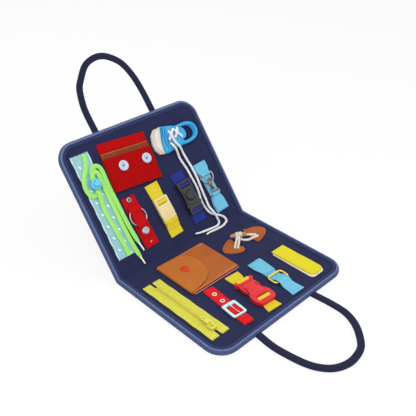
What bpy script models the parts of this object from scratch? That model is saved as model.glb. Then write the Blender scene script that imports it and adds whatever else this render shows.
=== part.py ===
# Cloth activity book: two stiffened felt covers joined by a soft spine, with fifteen fastening activities.
# Metres, +Z up. The front cover lies flat; the back cover rises behind it. X runs along the spine.
# On each cover a place is given as (across, outward, height): across from the middle of the cover,
# outward from its fold line to its outer edge, height above the felt.

import math

import bmesh
import bpy
from mathutils import Matrix, Vector

MM = 0.001

# Covers and spine
COVER_WIDTH = 260 * MM
COVER_DEPTH = 191 * MM
CORNER_RADIUS = 28 * MM
SPINE_HALF = 15.6 * MM
OPEN_TILT = math.radians(52.3)
GAP = 0.3 * MM
FOLD_CLEARANCE = 0.15 * MM
CLOTH_THICK = 2.2 * MM
CLOTH_RIM_THICK = 1.0 * MM
BOARD_THICK = 1.8 * MM
LINING_THICK = 1.5 * MM
BOARD_INSET = 4 * MM
BINDING_TAPE = 0.9 * MM
BINDING_LIP = 9 * MM
BINDING_START = 2 * MM
SPINE_SIDE_INSET = 1.2 * MM

# Handles
HANDLE_WIDTH = 9.5 * MM
HANDLE_THICK = 5 * MM
HANDLE_HEIGHT = -3.6 * MM
HANDLE_AXIS = COVER_DEPTH + GAP + HANDLE_THICK / 2
FRONT_HANDLE_ROUTE = ((-63, 0), (-65, 28), (-60, 64), (-52, 85), (-38, 100), (-17, 107), (7, 104),
                      (23, 94), (41, 74), (51, 51), (52, 26), (50, 0))
BACK_HANDLE_ROUTE = ((-55, 0), (-55.5, 25), (-54, 42), (-48, 64), (-39, 77), (-23, 94), (-7, 101),
                     (9, 102), (24, 96), (39, 82), (48, 59), (52, 30), (53, 0))

# Webbing and bars shared by the strap items
WEBBING = 1.4 * MM
WEB_TOP = GAP + WEBBING
BAR_LOW = WEB_TOP + GAP
LOOP_GAP = 0.3 * MM

# Zip
ZIP_ACROSS = -100 * MM
ZIP_START = 22 * MM
ZIP_LENGTH = 140 * MM
ZIP_WIDTH = 31 * MM
ZIP_TAPE = 0.8 * MM
ZIP_SLIT = 1.2 * MM
ZIP_END = 12 * MM
ZIP_TAIL = 14 * MM
CHAIN_HALF = 3 * MM
CHAIN_TOP = 3.4 * MM
SLIDER_AT = 122 * MM
SLIDER_LENGTH = 12 * MM
SLIDER_HALF = 5 * MM
SLIDER_WALL = 1.5 * MM
BRIDGE_HALF = 1.2 * MM
BRIDGE_LENGTH = 6 * MM
BRIDGE_RISE = 3 * MM
PULL_AXIS = 6.7 * MM
PULL_EYE = 1.0 * MM
PULL_PIN = 0.7 * MM
PULL_WIDTH = 7 * MM
PULL_LENGTH = 20 * MM
PULL_THICK = 1.4 * MM
PULL_NOTCH = 4.8 * MM
PULL_NOTCH_HALF = 1.6 * MM
PULL_EAR = 1.0 * MM

# Wallet
WALLET_LEFT = -72 * MM
WALLET_WIDTH = 89 * MM
WALLET_START = 4 * MM
WALLET_DEPTH = 76 * MM
LEATHER = 1.2 * MM
WALLET_ROOM = 0.8 * MM
WALLET_FLAP_GAP = 0.5 * MM
WALLET_FLAP_REACH = 54 * MM
WALLET_FLAP_SHARES = ((0.0, 0.0), (0.4, 0.01), (0.76, 0.03), (0.93, 0.12), (0.99, 0.26), (1.0, 0.46),
                      (0.96, 0.62), (0.86, 0.76), (0.66, 0.88), (0.4, 0.95), (0.0, 1.0))
SNAP_RADIUS = 6.5 * MM
SNAP_RISE = 3 * MM
SNAP_ACROSS = 24 * MM
SNAP_OUTWARD = 32 * MM

# Toggle closure
PATCH_THICK = 2 * MM
LEFT_PATCH_AT = (25 * MM, 27 * MM)
LEFT_PATCH_SIZE = (30 * MM, 34.5 * MM)
LEFT_PATCH_SHARES = ((0.99, 0.0), (0.68, 0.03), (0.2, 0.22), (0.03, 0.39), (0.0, 0.58), (0.27, 0.83),
                     (0.6, 0.98), (0.86, 1.0), (1.0, 0.84), (0.945, 0.63), (0.96, 0.33))
RIGHT_PATCH_AT = (81 * MM, 24.5 * MM)
RIGHT_PATCH_SIZE = (34 * MM, 36.5 * MM)
RIGHT_PATCH_SHARES = ((0.18, 0.0), (0.34, 0.04), (0.59, 0.1), (0.82, 0.2), (0.98, 0.4), (1.0, 0.57),
                      (0.86, 0.74), (0.52, 0.9), (0.12, 1.0), (0.04, 0.98), (0.01, 0.84), (0.02, 0.68))
ROPE = 3.2 * MM
LOOP_HEIGHT = 1.9 * MM
ROPE_LOOP_ROUTE = ((92, 47), (86.7, 46), (86, 42), (81.3, 33), (75.5, 30.5), (69, 32.5), (65.8, 37.5),
                   (67.4, 43.2), (74.3, 49), (83.2, 52.5), (92, 52))
PEG_LENGTH = 28 * MM
PEG_RADIUS = 3.5 * MM
PEG_WAIST = 2.4 * MM
PEG_AT = (66 * MM, 33 * MM)
PEG_HEIGHT = 7.5 * MM
PEG_TURN = math.radians(65)
TOGGLE_AXIS = 52 * MM
PEG_CORD_ROUTE = ((52, 44, 4.2), (57, 41, 4.6), (62, 36.5, 6.2), (66, 33, 7.5))

# Red belt
BELT_AT = (-51 * MM, 86 * MM)
BELT_LEAN = math.radians(-5)
BELT_WIDTH = 18 * MM
BELT_LENGTH = 62 * MM
BELT_HOLE = 2 * MM
BELT_HOLES = (15 * MM, 32 * MM, 52 * MM)
PIVOT_OUT = 68 * MM
PIVOT_HEIGHT = 3.65 * MM
FRAME_HALF = 12 * MM
FRAME_OPEN_HALF = 8.5 * MM
FRAME_START = 42 * MM
FRAME_BAR = 5 * MM
PIVOT_BAR = 2.6 * MM
FRAME_THICK = 2 * MM
EYE_RADIUS = 1.95 * MM
PRONG_WIDTH = 2.4 * MM
PRONG_RING = 2.9 * MM
PRONG_LOW = 1.3 * MM
PRONG_TOP = 2.7 * MM
TAB_WIDTH = 16.4 * MM
TAB_END = 86 * MM
TAB_SEAM = 76 * MM
TAB_SLOT_WIDTH = 4.4 * MM
TAB_SLOT_END = 75.2 * MM

# Red clip
CLIP_AT = (-6 * MM, 88 * MM)
CLIP_LEAN = math.radians(-4.5)
CLIP_WEB = 24.5 * MM
CLIP_LENGTH = 89 * MM
CLIP_LOOP_HALF = 10.5 * MM
CLIP_SLOT_HALF = 11 * MM
CLIP_LOW = BAR_LOW
CLIP_TOP = 7.6 * MM
CLIP_BAR_DROP = 2 * MM
PLUG_START = 21.5 * MM
PLUG_BAR = 2.4 * MM
PLUG_SLOT = 4.6 * MM
PLUG_END = 31 * MM
PLUG_HALF = 14 * MM
ARM_IN = 10.3 * MM
ARM_OUT = 13.6 * MM
ARM_END = 48 * MM
SOCKET_START = 33 * MM
SOCKET_END = 77 * MM
SOCKET_SLOT_START = 62 * MM
SOCKET_SLOT_END = 70 * MM
SOCKET_SLOT_HALF = 11 * MM
SOCKET_SHARES = ((0.56, 0.0), (0.5, 0.16), (0.5, 0.28), (0.58, 0.36), (0.92, 0.38), (1.0, 0.46), (0.98, 0.56),
                 (0.84, 0.7), (0.78, 0.86), (0.76, 0.97), (0.7, 1.0))
SOCKET_HALF = 16.8 * MM
TONGUE_HALF = 4.5 * MM
TONGUE_END = 49 * MM
CAVITY_HALF = 4.9 * MM
CAVITY_END = 52 * MM
CAVITY_LOW = 3.4 * MM
CAVITY_TOP = 6.2 * MM

# Gold slider
RING_AT = (39 * MM, 90 * MM)
RING_LEAN = math.radians(-2)
RING_WEB = 22.5 * MM
RING_WEB_LENGTH = 87 * MM
RING_HALF = 13.3 * MM
RING_WIRE = 2.4 * MM
RING_NEAR = 40 * MM
RING_FAR = 57 * MM
RING_CORNER = 3 * MM

# Hook-and-loop strap
PEEL_AT = (87 * MM, 94 * MM)
PEEL_LENGTH = 79 * MM
PEEL_BASE_WIDTH = 28 * MM
PEEL_BASE = 1.5 * MM
PEEL_WIDTH = 27 * MM
PEEL_THICK = 1.6 * MM
PEEL_AXIS_OUT = 3 * MM
PEEL_BEHIND = 0.5 * MM

# Ribbon, green laces and cord lock
RIBBON_AT = (-98.5 * MM, 8 * MM)
RIBBON_WIDTH = 31 * MM
RIBBON_LENGTH = 162 * MM
RIBBON_THICK = 0.6 * MM
LACE_WIDTH = 7.2 * MM
LACE_THICK = 1.6 * MM
UPPER_LACE_ROUTE = ((-91.6, 167.3, 2), (-94, 156, 2), (-101, 144, 2), (-108.5, 134, 2), (-111.8, 124, 2),
                    (-111.5, 114, 2), (-107, 107.5, 2), (-100.5, 106.5, 2.4), (-97.4, 111, 3.3), (-97.2, 117, 3.3),
                    (-97, 124, 3.3), (-96, 131, 3.1), (-92, 140.5, 2.2), (-84.5, 145.5, 2.0), (-77.8, 142.5, 1.5),
                    (-75.8, 133.6, 1.5), (-76.6, 118, 1.5), (-76.8, 102, 1.5), (-76.4, 78, 1.5), (-76, 55, 1.5),
                    (-74.6, 35, 1.5), (-72.8, 20, 1.5), (-71.4, 11.5, 1.5), (-70.4, 5.5, 1.5))
LOWER_LACE_ROUTE = ((-95.9, 9, 2), (-95.5, 23.6, 2), (-97, 40, 2), (-98.4, 60, 2), (-99.9, 76, 2),
                    (-99.4, 90, 2.6), (-98.6, 98, 4.2), (-97.6, 106, 5.2), (-97.2, 113, 5.2), (-97, 121, 5.2),
                    (-96, 130, 5.0), (-93, 136.2, 4.6), (-88.4, 138, 4.4), (-85, 134, 4.0),
                    (-84.4, 125, 3.2), (-84.4, 105, 2.2), (-84.4, 79, 2.2), (-84.6, 53, 2.2), (-84, 31, 2.2),
                    (-82.5, 14, 1.8), (-81, 2, 2.0), (-79.8, -6, 2.2), (-79, -12, 2.6))
LOCK_AT = (-97.3 * MM, 121 * MM)
LOCK_RADIUS = 8 * MM
LOCK_LOW = 1.2 * MM
LOCK_TOP = 11 * MM
LOCK_CHANNEL_HALF = 6 * MM
LOCK_CHANNEL_LOW = 2.2 * MM
LOCK_CHANNEL_TOP = 6.3 * MM
LOCK_WELL = 4.8 * MM
LOCK_WELL_FLOOR = 7.0 * MM
LOCK_BUTTON = 4.5 * MM
LOCK_BUTTON_LOW = 9.9 * MM
LOCK_BUTTON_TOP = 13.8 * MM

# Button pocket
POCKET_AT = (-30.2 * MM, 95 * MM)
POCKET_LEAN = math.radians(4.2)
POCKET_WIDTH = 85 * MM
POCKET_DEPTH = 75 * MM
POCKET_BACK = 1.5 * MM
POCKET_LEATHER = 1.4 * MM
POCKET_LEATHER_DEPTH = 60 * MM
POCKET_FLAP = 1.8 * MM
POCKET_FLAP_WIDTH = 84 * MM
POCKET_FLAP_DEPTH = 51 * MM
POCKET_HINGE = 0.7 * MM
BUTTON_RADIUS = 8 * MM
BUTTON_THICK = 2.6 * MM
BUTTON_SHANK = 2 * MM
BUTTON_ROOM = 8.5 * MM
BUTTON_OUT = 34 * MM
BUTTON_LEFT = -14.8 * MM
BUTTON_RIGHT = 27.3 * MM

# Toy shoe
SHOE_PLACE_SHARE = 0.62932
SHOE_AT = (20.8 * MM, SHOE_PLACE_SHARE * COVER_DEPTH)
SHOE_SIZE = (90 * MM, 43 * MM)
SHOE_TOP = 8.6 * MM
SHOE_ROUND = 3.2 * MM
CAP_TOP = 9.2 * MM
CAP_SHARES = ((0.29, 0.995), (0.135, 0.976), (0.048, 0.8), (0.0, 0.474), (0.007, 0.25), (0.061, 0.067),
              (0.16, 0.012), (0.171, 0.19), (0.183, 0.384), (0.214, 0.584))
UPPER_SHARES = ((0.306, 0.995), (0.509, 0.895), (0.588, 0.835), (0.67, 0.828), (0.76, 0.828), (0.817, 0.81),
                (0.923, 0.746), (0.981, 0.62), (0.999, 0.505), (0.988, 0.365), (0.949, 0.235), (0.88, 0.149),
                (0.769, 0.084), (0.67, 0.053), (0.579, 0.058), (0.511, 0.079), (0.366, 0.023), (0.264, 0.0),
                (0.176, 0.012), (0.187, 0.19), (0.199, 0.384), (0.23, 0.584))
COLLAR_SHARES = ((0.67, 0.653), (0.768, 0.677), (0.858, 0.626), (0.903, 0.498), (0.898, 0.346), (0.84, 0.251),
                 (0.76, 0.226), (0.653, 0.242), (0.691, 0.4), (0.7, 0.54))
WHITE_LACE = 3.8 * MM
LACES_DRAWN_DEPTH = 191 * MM
LEFT_LACE_ROUTE = ((50.5, 139.5, 10.9), (54, 131, 11.1), (56.5, 120.5, 11), (58.2, 112.5, 6.5), (60, 104, 2.4),
                   (61.7, 87.4, 2.4), (62.1, 72.6, 2.4), (63.1, 58.8, 2.4), (62.8, 46.6, 2.4), (60.6, 35.5, 2.4),
                   (60, 26, 2.4), (61.6, 16.6, 2.4), (65.4, 8, 2.4), (71.4, 2.3, 2.4), (80, -2.6, 2.4),
                   (86.5, -8.5, 2.4), (88, -13.5, 3.0))
LEFT_LACE_REST = ((84.5, -10.5, 2.4), (73.2, -6.2, 2.4), (59.2, -6, 2.4), (46.7, -7.5, 2.4), (37.8, -7, 2.4))
RIGHT_LACE_ROUTE = ((62.2, 139.5, 10.9), (64.2, 131, 11.1), (65.8, 122, 11), (66.8, 114, 6.8), (67.6, 106, 2.4),
                    (69.4, 95.5, 2.4), (71.1, 80.2, 2.4), (71.6, 66.3, 2.4), (70.6, 53.3, 2.4), (69.7, 41.4, 2.4),
                    (69.2, 27.9, 2.4), (67.9, 17.4, 3.6), (68.6, 8, 6.8), (70.6, 1.4, 6.8), (72.4, -6, 4.4),
                    (73, -12.1, 3.4))
RIGHT_LACE_REST = ((66.5, -12.2, 2.6), (58, -12.4, 2.4), (46.5, -14, 2.8))
RIGHT_LACE_END = ((32.5, -12.6, 2.8), (23.5, -10.5, 2.4))

# Snap strap with its ring
SNAP_AT = (-53 * MM, 5 * MM)
SNAP_LEAN = math.radians(-3.2)
SNAP_WEB = 24 * MM
SNAP_LENGTH = 81 * MM
TONGUE_WEB = 19 * MM
TONGUE_PIVOT = 65 * MM
TONGUE_TIP = 16 * MM
TONGUE_CAP_OUT = 25 * MM
RING_OUT = 48 * MM
RING_RADIUS = 13.7 * MM
O_RING_WIRE = 2.5 * MM
CAP_RADIUS = 6.5 * MM
CAP_RISE = 2.6 * MM

# Yellow strap and cream buckle
CREAM_AT = (-6 * MM, 2 * MM)
CREAM_LEAN = math.radians(-3.3)
CREAM_WEB = 24 * MM
CREAM_LENGTH = 87 * MM
CREAM_HALF = 12.6 * MM
CREAM_TOP = 7 * MM
CREAM_BAR_DROP = 2 * MM
CREAM_LOOP_HALF = 8.4 * MM
CREAM_SLOT_HALF = 9.1 * MM
CREAM_PLUG_START = 22 * MM
CREAM_PLUG_END = 31 * MM
CREAM_BAR = 2.4 * MM
CREAM_PLUG_SLOT = 4.6 * MM
CREAM_SOCKET_END = 63 * MM
CREAM_SLOT_START = 51.6 * MM
CREAM_SLOT_END = 59.8 * MM
CREAM_TONGUE_HALF = 7.6 * MM
CREAM_TONGUE_END = 46 * MM
CREAM_CAVITY_END = 48 * MM
CREAM_CAVITY_LOW = 3.4 * MM
CREAM_CAVITY_TOP = 5.4 * MM

# Navy strap and push buckle
NAVY_AT = (44 * MM, 3 * MM)
NAVY_LEAN = math.radians(-3.4)
NAVY_WEB = 26 * MM
NAVY_LENGTH = 85 * MM
NAVY_HALF = 13.4 * MM
NAVY_TOP = 9 * MM
NAVY_BAR_DROP = 3 * MM
NAVY_CORNER = 2 * MM
NAVY_LOOP_HALF = 9.6 * MM
NAVY_SLOT_HALF = 10.3 * MM
NAVY_PLUG_START = 15.5 * MM
NAVY_PLUG_END = 27 * MM
NAVY_BAR = 2.6 * MM
NAVY_PLUG_SLOT = 5.4 * MM
NAVY_BODY_END = 69 * MM
NAVY_SLOT_START = 58.6 * MM
NAVY_SLOT_END = 66 * MM
NAVY_TONGUE_HALF = 8 * MM
NAVY_TONGUE_END = 40 * MM
NAVY_CAVITY_END = 43 * MM
NAVY_CAVITY_LOW = 3 * MM
NAVY_CAVITY_TOP = 4.9 * MM
NAVY_WELL_OUT = 44 * MM
NAVY_WELL = 8.5 * MM
NAVY_WELL_FLOOR = 5.5 * MM
NAVY_BUTTON = 8.1 * MM
NAVY_BUTTON_LOW = 7.3 * MM
NAVY_BUTTON_EDGE = 9.6 * MM
NAVY_BUTTON_TOP = 11.5 * MM

# Light-blue strap, ring and snap hook
HOOK_AT = (92.5 * MM, 2 * MM)
HOOK_LEAN = math.radians(-3.4)
HOOK_WEB = 26 * MM
HOOK_WEB_LENGTH = 85 * MM
D_WIRE = 2.4 * MM
D_HALF = 13 * MM
D_BAR_OUT = 64 * MM
D_DEPTH = 16 * MM
D_HEIGHT = BAR_LOW + D_WIRE / 2
D_RISE = 2.9 * MM
D_LOOP_HALF = 10 * MM
BASE_BACK = 35 * MM
BASE_BAR_OUT = D_BAR_OUT - BASE_BACK
BASE_HALF = 10.5 * MM
BASE_LOOP_HALF = 7.6 * MM
BASE_DEPTH = 7.5 * MM
HOOK_WIRE = 3 * MM
HOOK_ROUTE = ((0, -28, 3.6), (-0.6, -25, 5.2), (-3.4, -22, 7.8), (-5.6, -18.5, 9.2), (-5.4, -13.5, 9.3),
              (-2.4, -9.6, 8.4), (2, -9.2, 6), (5, -12.4, 3.8))
GATE_PIVOT = (2.6 * MM, -25.8 * MM)
GATE_WIDTH = 2.2 * MM
GATE_HEIGHT = 3.2 * MM
GATE_TIP = (4.9 * MM, -15.1 * MM)

# Shared counts
ARC_STEPS = 6
ROUND_STEPS = 20
SMALL_ROUND_STEPS = 12


# Empty scene, collections and materials
for old in list(bpy.data.objects):
    bpy.data.objects.remove(old, do_unlink=True)

book = bpy.data.collections.new("cloth_activity_book")
cutters = bpy.data.collections.new("cutters")
bpy.context.scene.collection.children.link(book)
bpy.context.scene.collection.children.link(cutters)

LOOKS = {
    "navy_felt": ((0.020, 0.025, 0.085), 0.95, 0.0),
    "denim_tape": ((0.078, 0.115, 0.31), 0.9, 0.0),
    "navy_webbing": ((0.018, 0.035, 0.26), 0.85, 0.0),
    "grey_board": ((0.35, 0.33, 0.3), 0.9, 0.0),
    "lime_nylon": ((0.72, 0.69, 0.08), 0.6, 0.0),
    "tan_leather": ((0.53, 0.14, 0.03), 0.55, 0.0),
    "orange_cap": ((0.8, 0.04, 0.0), 0.35, 0.0),
    "cream_rope": ((0.8, 0.74, 0.6), 0.85, 0.0),
    "red_felt": ((0.6, 0.004, 0.004), 0.9, 0.0),
    "red_webbing": ((0.85, 0.01, 0.01), 0.8, 0.0),
    "red_plastic": ((0.8, 0.015, 0.015), 0.35, 0.0),
    "pale_metal": ((0.75, 0.88, 0.9), 0.3, 1.0),
    "gold_metal": ((0.87, 0.6, 0.08), 0.3, 1.0),
    "silver_metal": ((0.6, 0.6, 0.62), 0.25, 1.0),
    "yellow_webbing": ((0.77, 0.62, 0.02), 0.8, 0.0),
    "cream_webbing": ((0.86, 0.78, 0.45), 0.85, 0.0),
    "sky_webbing": ((0.17, 0.56, 0.76), 0.8, 0.0),
    "teal_ribbon": ((0.33, 0.6, 0.6), 0.7, 0.0),
    "green_lace": ((0.38, 0.87, 0.19), 0.7, 0.0),
    "blue_plastic": ((0.1, 0.56, 0.85), 0.35, 0.0),
    "pale_plastic": ((0.72, 0.8, 1.0), 0.3, 0.0),
    "cream_plastic": ((0.8, 0.65, 0.36), 0.4, 0.0),
    "black_plastic": ((0.04, 0.04, 0.035), 0.45, 0.0),
    "white_rubber": ((0.8, 0.74, 0.66), 0.6, 0.0),
    "blue_foam": ((0.06, 0.42, 0.8), 0.75, 0.0),
    "white_lace": ((0.9, 0.9, 0.9), 0.8, 0.0),
}


def material(name):
    """The named material, made once."""
    found = bpy.data.materials.get(name)
    if found:
        return found
    made = bpy.data.materials.new(name)
    made.use_nodes = True
    colour, roughness, metallic = LOOKS[name]
    shader = made.node_tree.nodes["Principled BSDF"]
    shader.inputs["Base Color"].default_value = (*colour, 1.0)
    shader.inputs["Roughness"].default_value = roughness
    shader.inputs["Metallic"].default_value = metallic
    return made


class Place:
    """An empty that an item hangs on, and which way outward runs along its own Y."""

    def __init__(self, empty, out):
        self.empty = empty
        self.out = out


def leaf(name, origin, tilt, out):
    """The empty at a cover's fold line, level with its felt."""
    empty = bpy.data.objects.new(name, None)
    empty.location = origin
    empty.rotation_euler = (tilt, 0, 0)
    book.objects.link(empty)
    return Place(empty, out)


def station(name, cover, at, lean=0.0, height=0.0):
    """An empty on a cover, with its outward direction leaning towards +across."""
    empty = bpy.data.objects.new(name, None)
    empty.parent = cover.empty
    empty.location = (at[0], cover.out * at[1], height)
    empty.rotation_euler = (0, 0, -cover.out * lean)
    book.objects.link(empty)
    return Place(empty, cover.out)


def settle(piece, place, look=None, name=None):
    """Hang a finished piece on its place."""
    for holder in list(piece.users_collection):
        holder.objects.unlink(piece)
    book.objects.link(piece)
    piece.parent = place.empty
    if name:
        piece.name = name
    if look:
        piece.data.materials.clear()
        piece.data.materials.append(material(look))
    return piece


def as_mesh(piece):
    """A curve's evaluated shape as a welded mesh piece with the same name."""
    name = piece.name
    bpy.context.view_layer.update()
    seen = piece.evaluated_get(bpy.context.evaluated_depsgraph_get())
    mesh = bpy.data.meshes.new_from_object(seen)
    work = bmesh.new()
    work.from_mesh(mesh)
    bmesh.ops.remove_doubles(work, verts=work.verts, dist=0.1 * GAP)
    bmesh.ops.recalc_face_normals(work, faces=work.faces)
    work.to_mesh(mesh)
    work.free()
    made = bpy.data.objects.new(name, mesh)
    made.parent = piece.parent
    made.matrix_basis = piece.matrix_basis.copy()
    for holder in piece.users_collection:
        holder.objects.link(made)
    curve = piece.data
    bpy.data.objects.remove(piece, do_unlink=True)
    bpy.data.curves.remove(curve)
    made.name = name
    return made


def apply_modifiers(piece):
    """Replace a mesh piece's shape by its evaluated shape."""
    bpy.context.view_layer.update()
    seen = piece.evaluated_get(bpy.context.evaluated_depsgraph_get())
    mesh = bpy.data.meshes.new_from_object(seen)
    piece.modifiers.clear()
    piece.data = mesh
    return piece


def combine(piece, others, operation):
    """Join pieces to one piece, or cut them out of it."""
    for other in others:
        for holder in list(other.users_collection):
            holder.objects.unlink(other)
        cutters.objects.link(other)
        other.hide_render = True
        other.display_type = 'WIRE'
        step = piece.modifiers.new("shape", 'BOOLEAN')
        step.operation = operation
        step.solver = 'EXACT'
        step.object = other
    apply_modifiers(piece)
    for other in others:
        bpy.data.objects.remove(other, do_unlink=True)
    return piece


def soften(piece, width, segments=2, angle=40):
    """Round the sharp edges of a mesh piece."""
    step = piece.modifiers.new("rounding", 'BEVEL')
    step.width = width
    step.segments = segments
    step.limit_method = 'ANGLE'
    step.angle_limit = math.radians(angle)
    step.use_clamp_overlap = True
    return apply_modifiers(piece)


def plate(name, place, look, outline, low, high, holes=()):
    """A flat piece: an outline of (across, outward) points between two heights."""
    curve = bpy.data.curves.new(name, 'CURVE')
    curve.dimensions = '2D'
    curve.fill_mode = 'BOTH'
    curve.extrude = (high - low) / 2
    for ring in (outline, *holes):
        spline = curve.splines.new('POLY')
        spline.points.add(len(ring) - 1)
        for point, (across, outward) in zip(spline.points, ring):
            point.co = (across, place.out * outward, 0, 1)
        spline.use_cyclic_u = True
    piece = bpy.data.objects.new(name, curve)
    piece.location = (0, 0, (high + low) / 2)
    settle(piece, place, look)
    return as_mesh(piece)


def side_plate(name, place, look, outline, width, across=0.0, holes=()):
    """A piece with one side view of (outward, height) points, drawn out across."""
    curve = bpy.data.curves.new(name, 'CURVE')
    curve.dimensions = '2D'
    curve.fill_mode = 'BOTH'
    curve.extrude = width / 2
    for ring in (outline, *holes):
        spline = curve.splines.new('POLY')
        spline.points.add(len(ring) - 1)
        for point, (outward, height) in zip(spline.points, ring):
            point.co = (place.out * outward, height, 0, 1)
        spline.use_cyclic_u = True
    piece = bpy.data.objects.new(name, curve)
    piece.rotation_euler = (math.pi / 2, 0, math.pi / 2)
    piece.location = (across, 0, 0)
    settle(piece, place, look)
    return as_mesh(piece)


def front_plate(name, place, look, outline, start, end):
    """A piece with one front view of (across, height) points, drawn out outward."""
    curve = bpy.data.curves.new(name, 'CURVE')
    curve.dimensions = '2D'
    curve.fill_mode = 'BOTH'
    curve.extrude = (end - start) / 2
    spline = curve.splines.new('POLY')
    spline.points.add(len(outline) - 1)
    for point, (across, height) in zip(spline.points, outline):
        point.co = (across, height, 0, 1)
    spline.use_cyclic_u = True
    piece = bpy.data.objects.new(name, curve)
    piece.rotation_euler = (math.pi / 2, 0, 0)
    piece.location = (0, place.out * (start + end) / 2, 0)
    settle(piece, place, look)
    return as_mesh(piece)


def box(name, place, look, across, outward, height):
    """A block between pairs of across, outward and height limits."""
    bpy.ops.mesh.primitive_cube_add(size=1)
    piece = bpy.context.object
    spans = []
    centres = []
    for low, high in (across, outward, height):
        spans.append(high - low)
        centres.append((high + low) / 2)
    shape = Matrix.Diagonal((*spans, 1))
    piece.data.transform(shape)
    piece.location = (centres[0], place.out * centres[1], centres[2])
    return settle(piece, place, look, name)


def disc(name, place, look, across, outward, profile, steps=ROUND_STEPS):
    """A turned piece standing on a cover, from (radius, height) points, top to bottom."""
    mesh = bpy.data.meshes.new(name)
    points = [(radius, 0, height) for radius, height in profile]
    mesh.from_pydata(points, [(i, i + 1) for i in range(len(points) - 1)], [])
    piece = bpy.data.objects.new(name, mesh)
    piece.location = (across, place.out * outward, 0)
    settle(piece, place, look)
    turn = piece.modifiers.new("turning", 'SCREW')
    turn.angle = 2 * math.pi
    turn.steps = steps
    turn.render_steps = steps
    turn.use_merge_vertices = True
    turn.merge_threshold = 0.1 * GAP
    turn.use_normal_calculate = True
    apply_modifiers(piece)
    work = bmesh.new()
    work.from_mesh(piece.data)
    bmesh.ops.remove_doubles(work, verts=work.verts, dist=0.1 * GAP)
    bmesh.ops.recalc_face_normals(work, faces=work.faces)
    work.to_mesh(piece.data)
    work.free()
    return piece


def pin(name, place, look, radius, across, outward, height, steps=SMALL_ROUND_STEPS):
    """A round bar lying across, between two across limits."""
    bpy.ops.mesh.primitive_cylinder_add(vertices=steps, radius=radius, depth=across[1] - across[0])
    piece = bpy.context.object
    piece.data.transform(Matrix.Rotation(math.pi / 2, 4, 'Y'))
    piece.location = ((across[0] + across[1]) / 2, place.out * outward, height)
    return settle(piece, place, look, name)


def smooth_route(route, spacing):
    """Points read at even spacing from a smooth curve through hand-chosen ones."""
    knots = [Vector(point) for point in route]
    knots = [knots[0] * 2 - knots[1]] + knots + [knots[-1] * 2 - knots[-2]]
    fine = []
    for i in range(1, len(knots) - 2):
        p0, p1, p2, p3 = knots[i - 1:i + 3]
        for step in range(12):
            t = step / 12
            fine.append(0.5 * ((2 * p1) + (p2 - p0) * t + (2 * p0 - 5 * p1 + 4 * p2 - p3) * t * t
                               + (3 * p1 - p0 - 3 * p2 + p3) * t * t * t))
    fine.append(knots[-2])
    total = sum((b - a).length for a, b in zip(fine, fine[1:]))
    count = max(2, round(total / spacing))
    stride = total / count
    made = [fine[0]]
    walked = 0.0
    for a, b in zip(fine, fine[1:]):
        piece = (b - a).length
        while len(made) < count and walked + piece >= stride * len(made):
            made.append(a.lerp(b, (stride * len(made) - walked) / piece))
        walked += piece
    made.append(fine[-1])
    return made


def smooth_outline(points, steps):
    """A closed outline rounded through its points."""
    count = len(points)
    made = []
    for i in range(count):
        p0, p1, p2, p3 = (Vector(points[(i + k) % count]) for k in (-1, 0, 1, 2))
        for step in range(steps):
            t = step / steps
            made.append(0.5 * ((2 * p1) + (p2 - p0) * t + (2 * p0 - 5 * p1 + 4 * p2 - p3) * t * t
                               + (3 * p1 - p0 - 3 * p2 + p3) * t * t * t))
    return [tuple(point) for point in made]


def tube(name, place, look, points, diameter, closed=False, resolution=2, flat=None):
    """A cord or wire along points given as (across, outward, height)."""
    curve = bpy.data.curves.new(name, 'CURVE')
    curve.dimensions = '3D'
    curve.twist_mode = 'Z_UP'
    out = place.out if place else 1
    spline = curve.splines.new('POLY')
    spline.points.add(len(points) - 1)
    for point, (across, outward, height) in zip(spline.points, points):
        point.co = (across, out * outward, height, 1)
    spline.use_cyclic_u = closed
    section = None
    if flat:
        section_curve = bpy.data.curves.new(name + "_section", 'CURVE')
        section_curve.dimensions = '2D'
        ring = section_curve.splines.new('POLY')
        sides = 8 if flat > 0.3 else 6
        ring.points.add(sides - 1)
        for i, point in enumerate(ring.points):
            angle = 2 * math.pi * (i + 0.5) / sides
            point.co = (diameter / 2 * math.cos(angle), flat * diameter / 2 * math.sin(angle), 0, 1)
        ring.use_cyclic_u = True
        section = bpy.data.objects.new(name + "_section", section_curve)
        cutters.objects.link(section)
        curve.bevel_mode = 'OBJECT'
        curve.bevel_object = section
    else:
        curve.bevel_depth = diameter / 2
        curve.bevel_resolution = resolution
    curve.use_fill_caps = not closed
    piece = bpy.data.objects.new(name, curve)
    if place:
        settle(piece, place, look)
    else:
        book.objects.link(piece)
        piece.data.materials.append(material(look))
    made = as_mesh(piece)
    if section:
        bpy.data.objects.remove(section, do_unlink=True)
    return made


def corner_box(left, right, start, end, radius, steps=ARC_STEPS):
    """A rectangle outline with rounded corners."""
    made = []
    corners = ((right - radius, start + radius, -90), (right - radius, end - radius, 0),
               (left + radius, end - radius, 90), (left + radius, start + radius, 180))
    for across, outward, first in corners:
        for i in range(steps + 1):
            angle = math.radians(first + 90 * i / steps)
            made.append((across + radius * math.cos(angle), outward + radius * math.sin(angle)))
    return made


def cover_outline(inset, start, end_inset=None):
    """A cover's outline with its two outer corners rounded."""
    half = COVER_WIDTH / 2 - inset
    end = COVER_DEPTH - (inset if end_inset is None else end_inset)
    radius = CORNER_RADIUS - inset
    made = [(half, start)]
    for across, first in ((half - radius, 0), (radius - half, 90)):
        for i in range(ARC_STEPS + 1):
            angle = math.radians(first + 90 * i / ARC_STEPS)
            made.append((across + radius * math.cos(angle), end - radius + radius * math.sin(angle)))
    made.append((-half, start))
    return made


def ring_outline(across, outward, radius, steps=ROUND_STEPS):
    """A circle outline."""
    turns = [2 * math.pi * i / steps for i in range(steps)]
    return [(across + radius * math.cos(turn), outward + radius * math.sin(turn)) for turn in turns]


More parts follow.
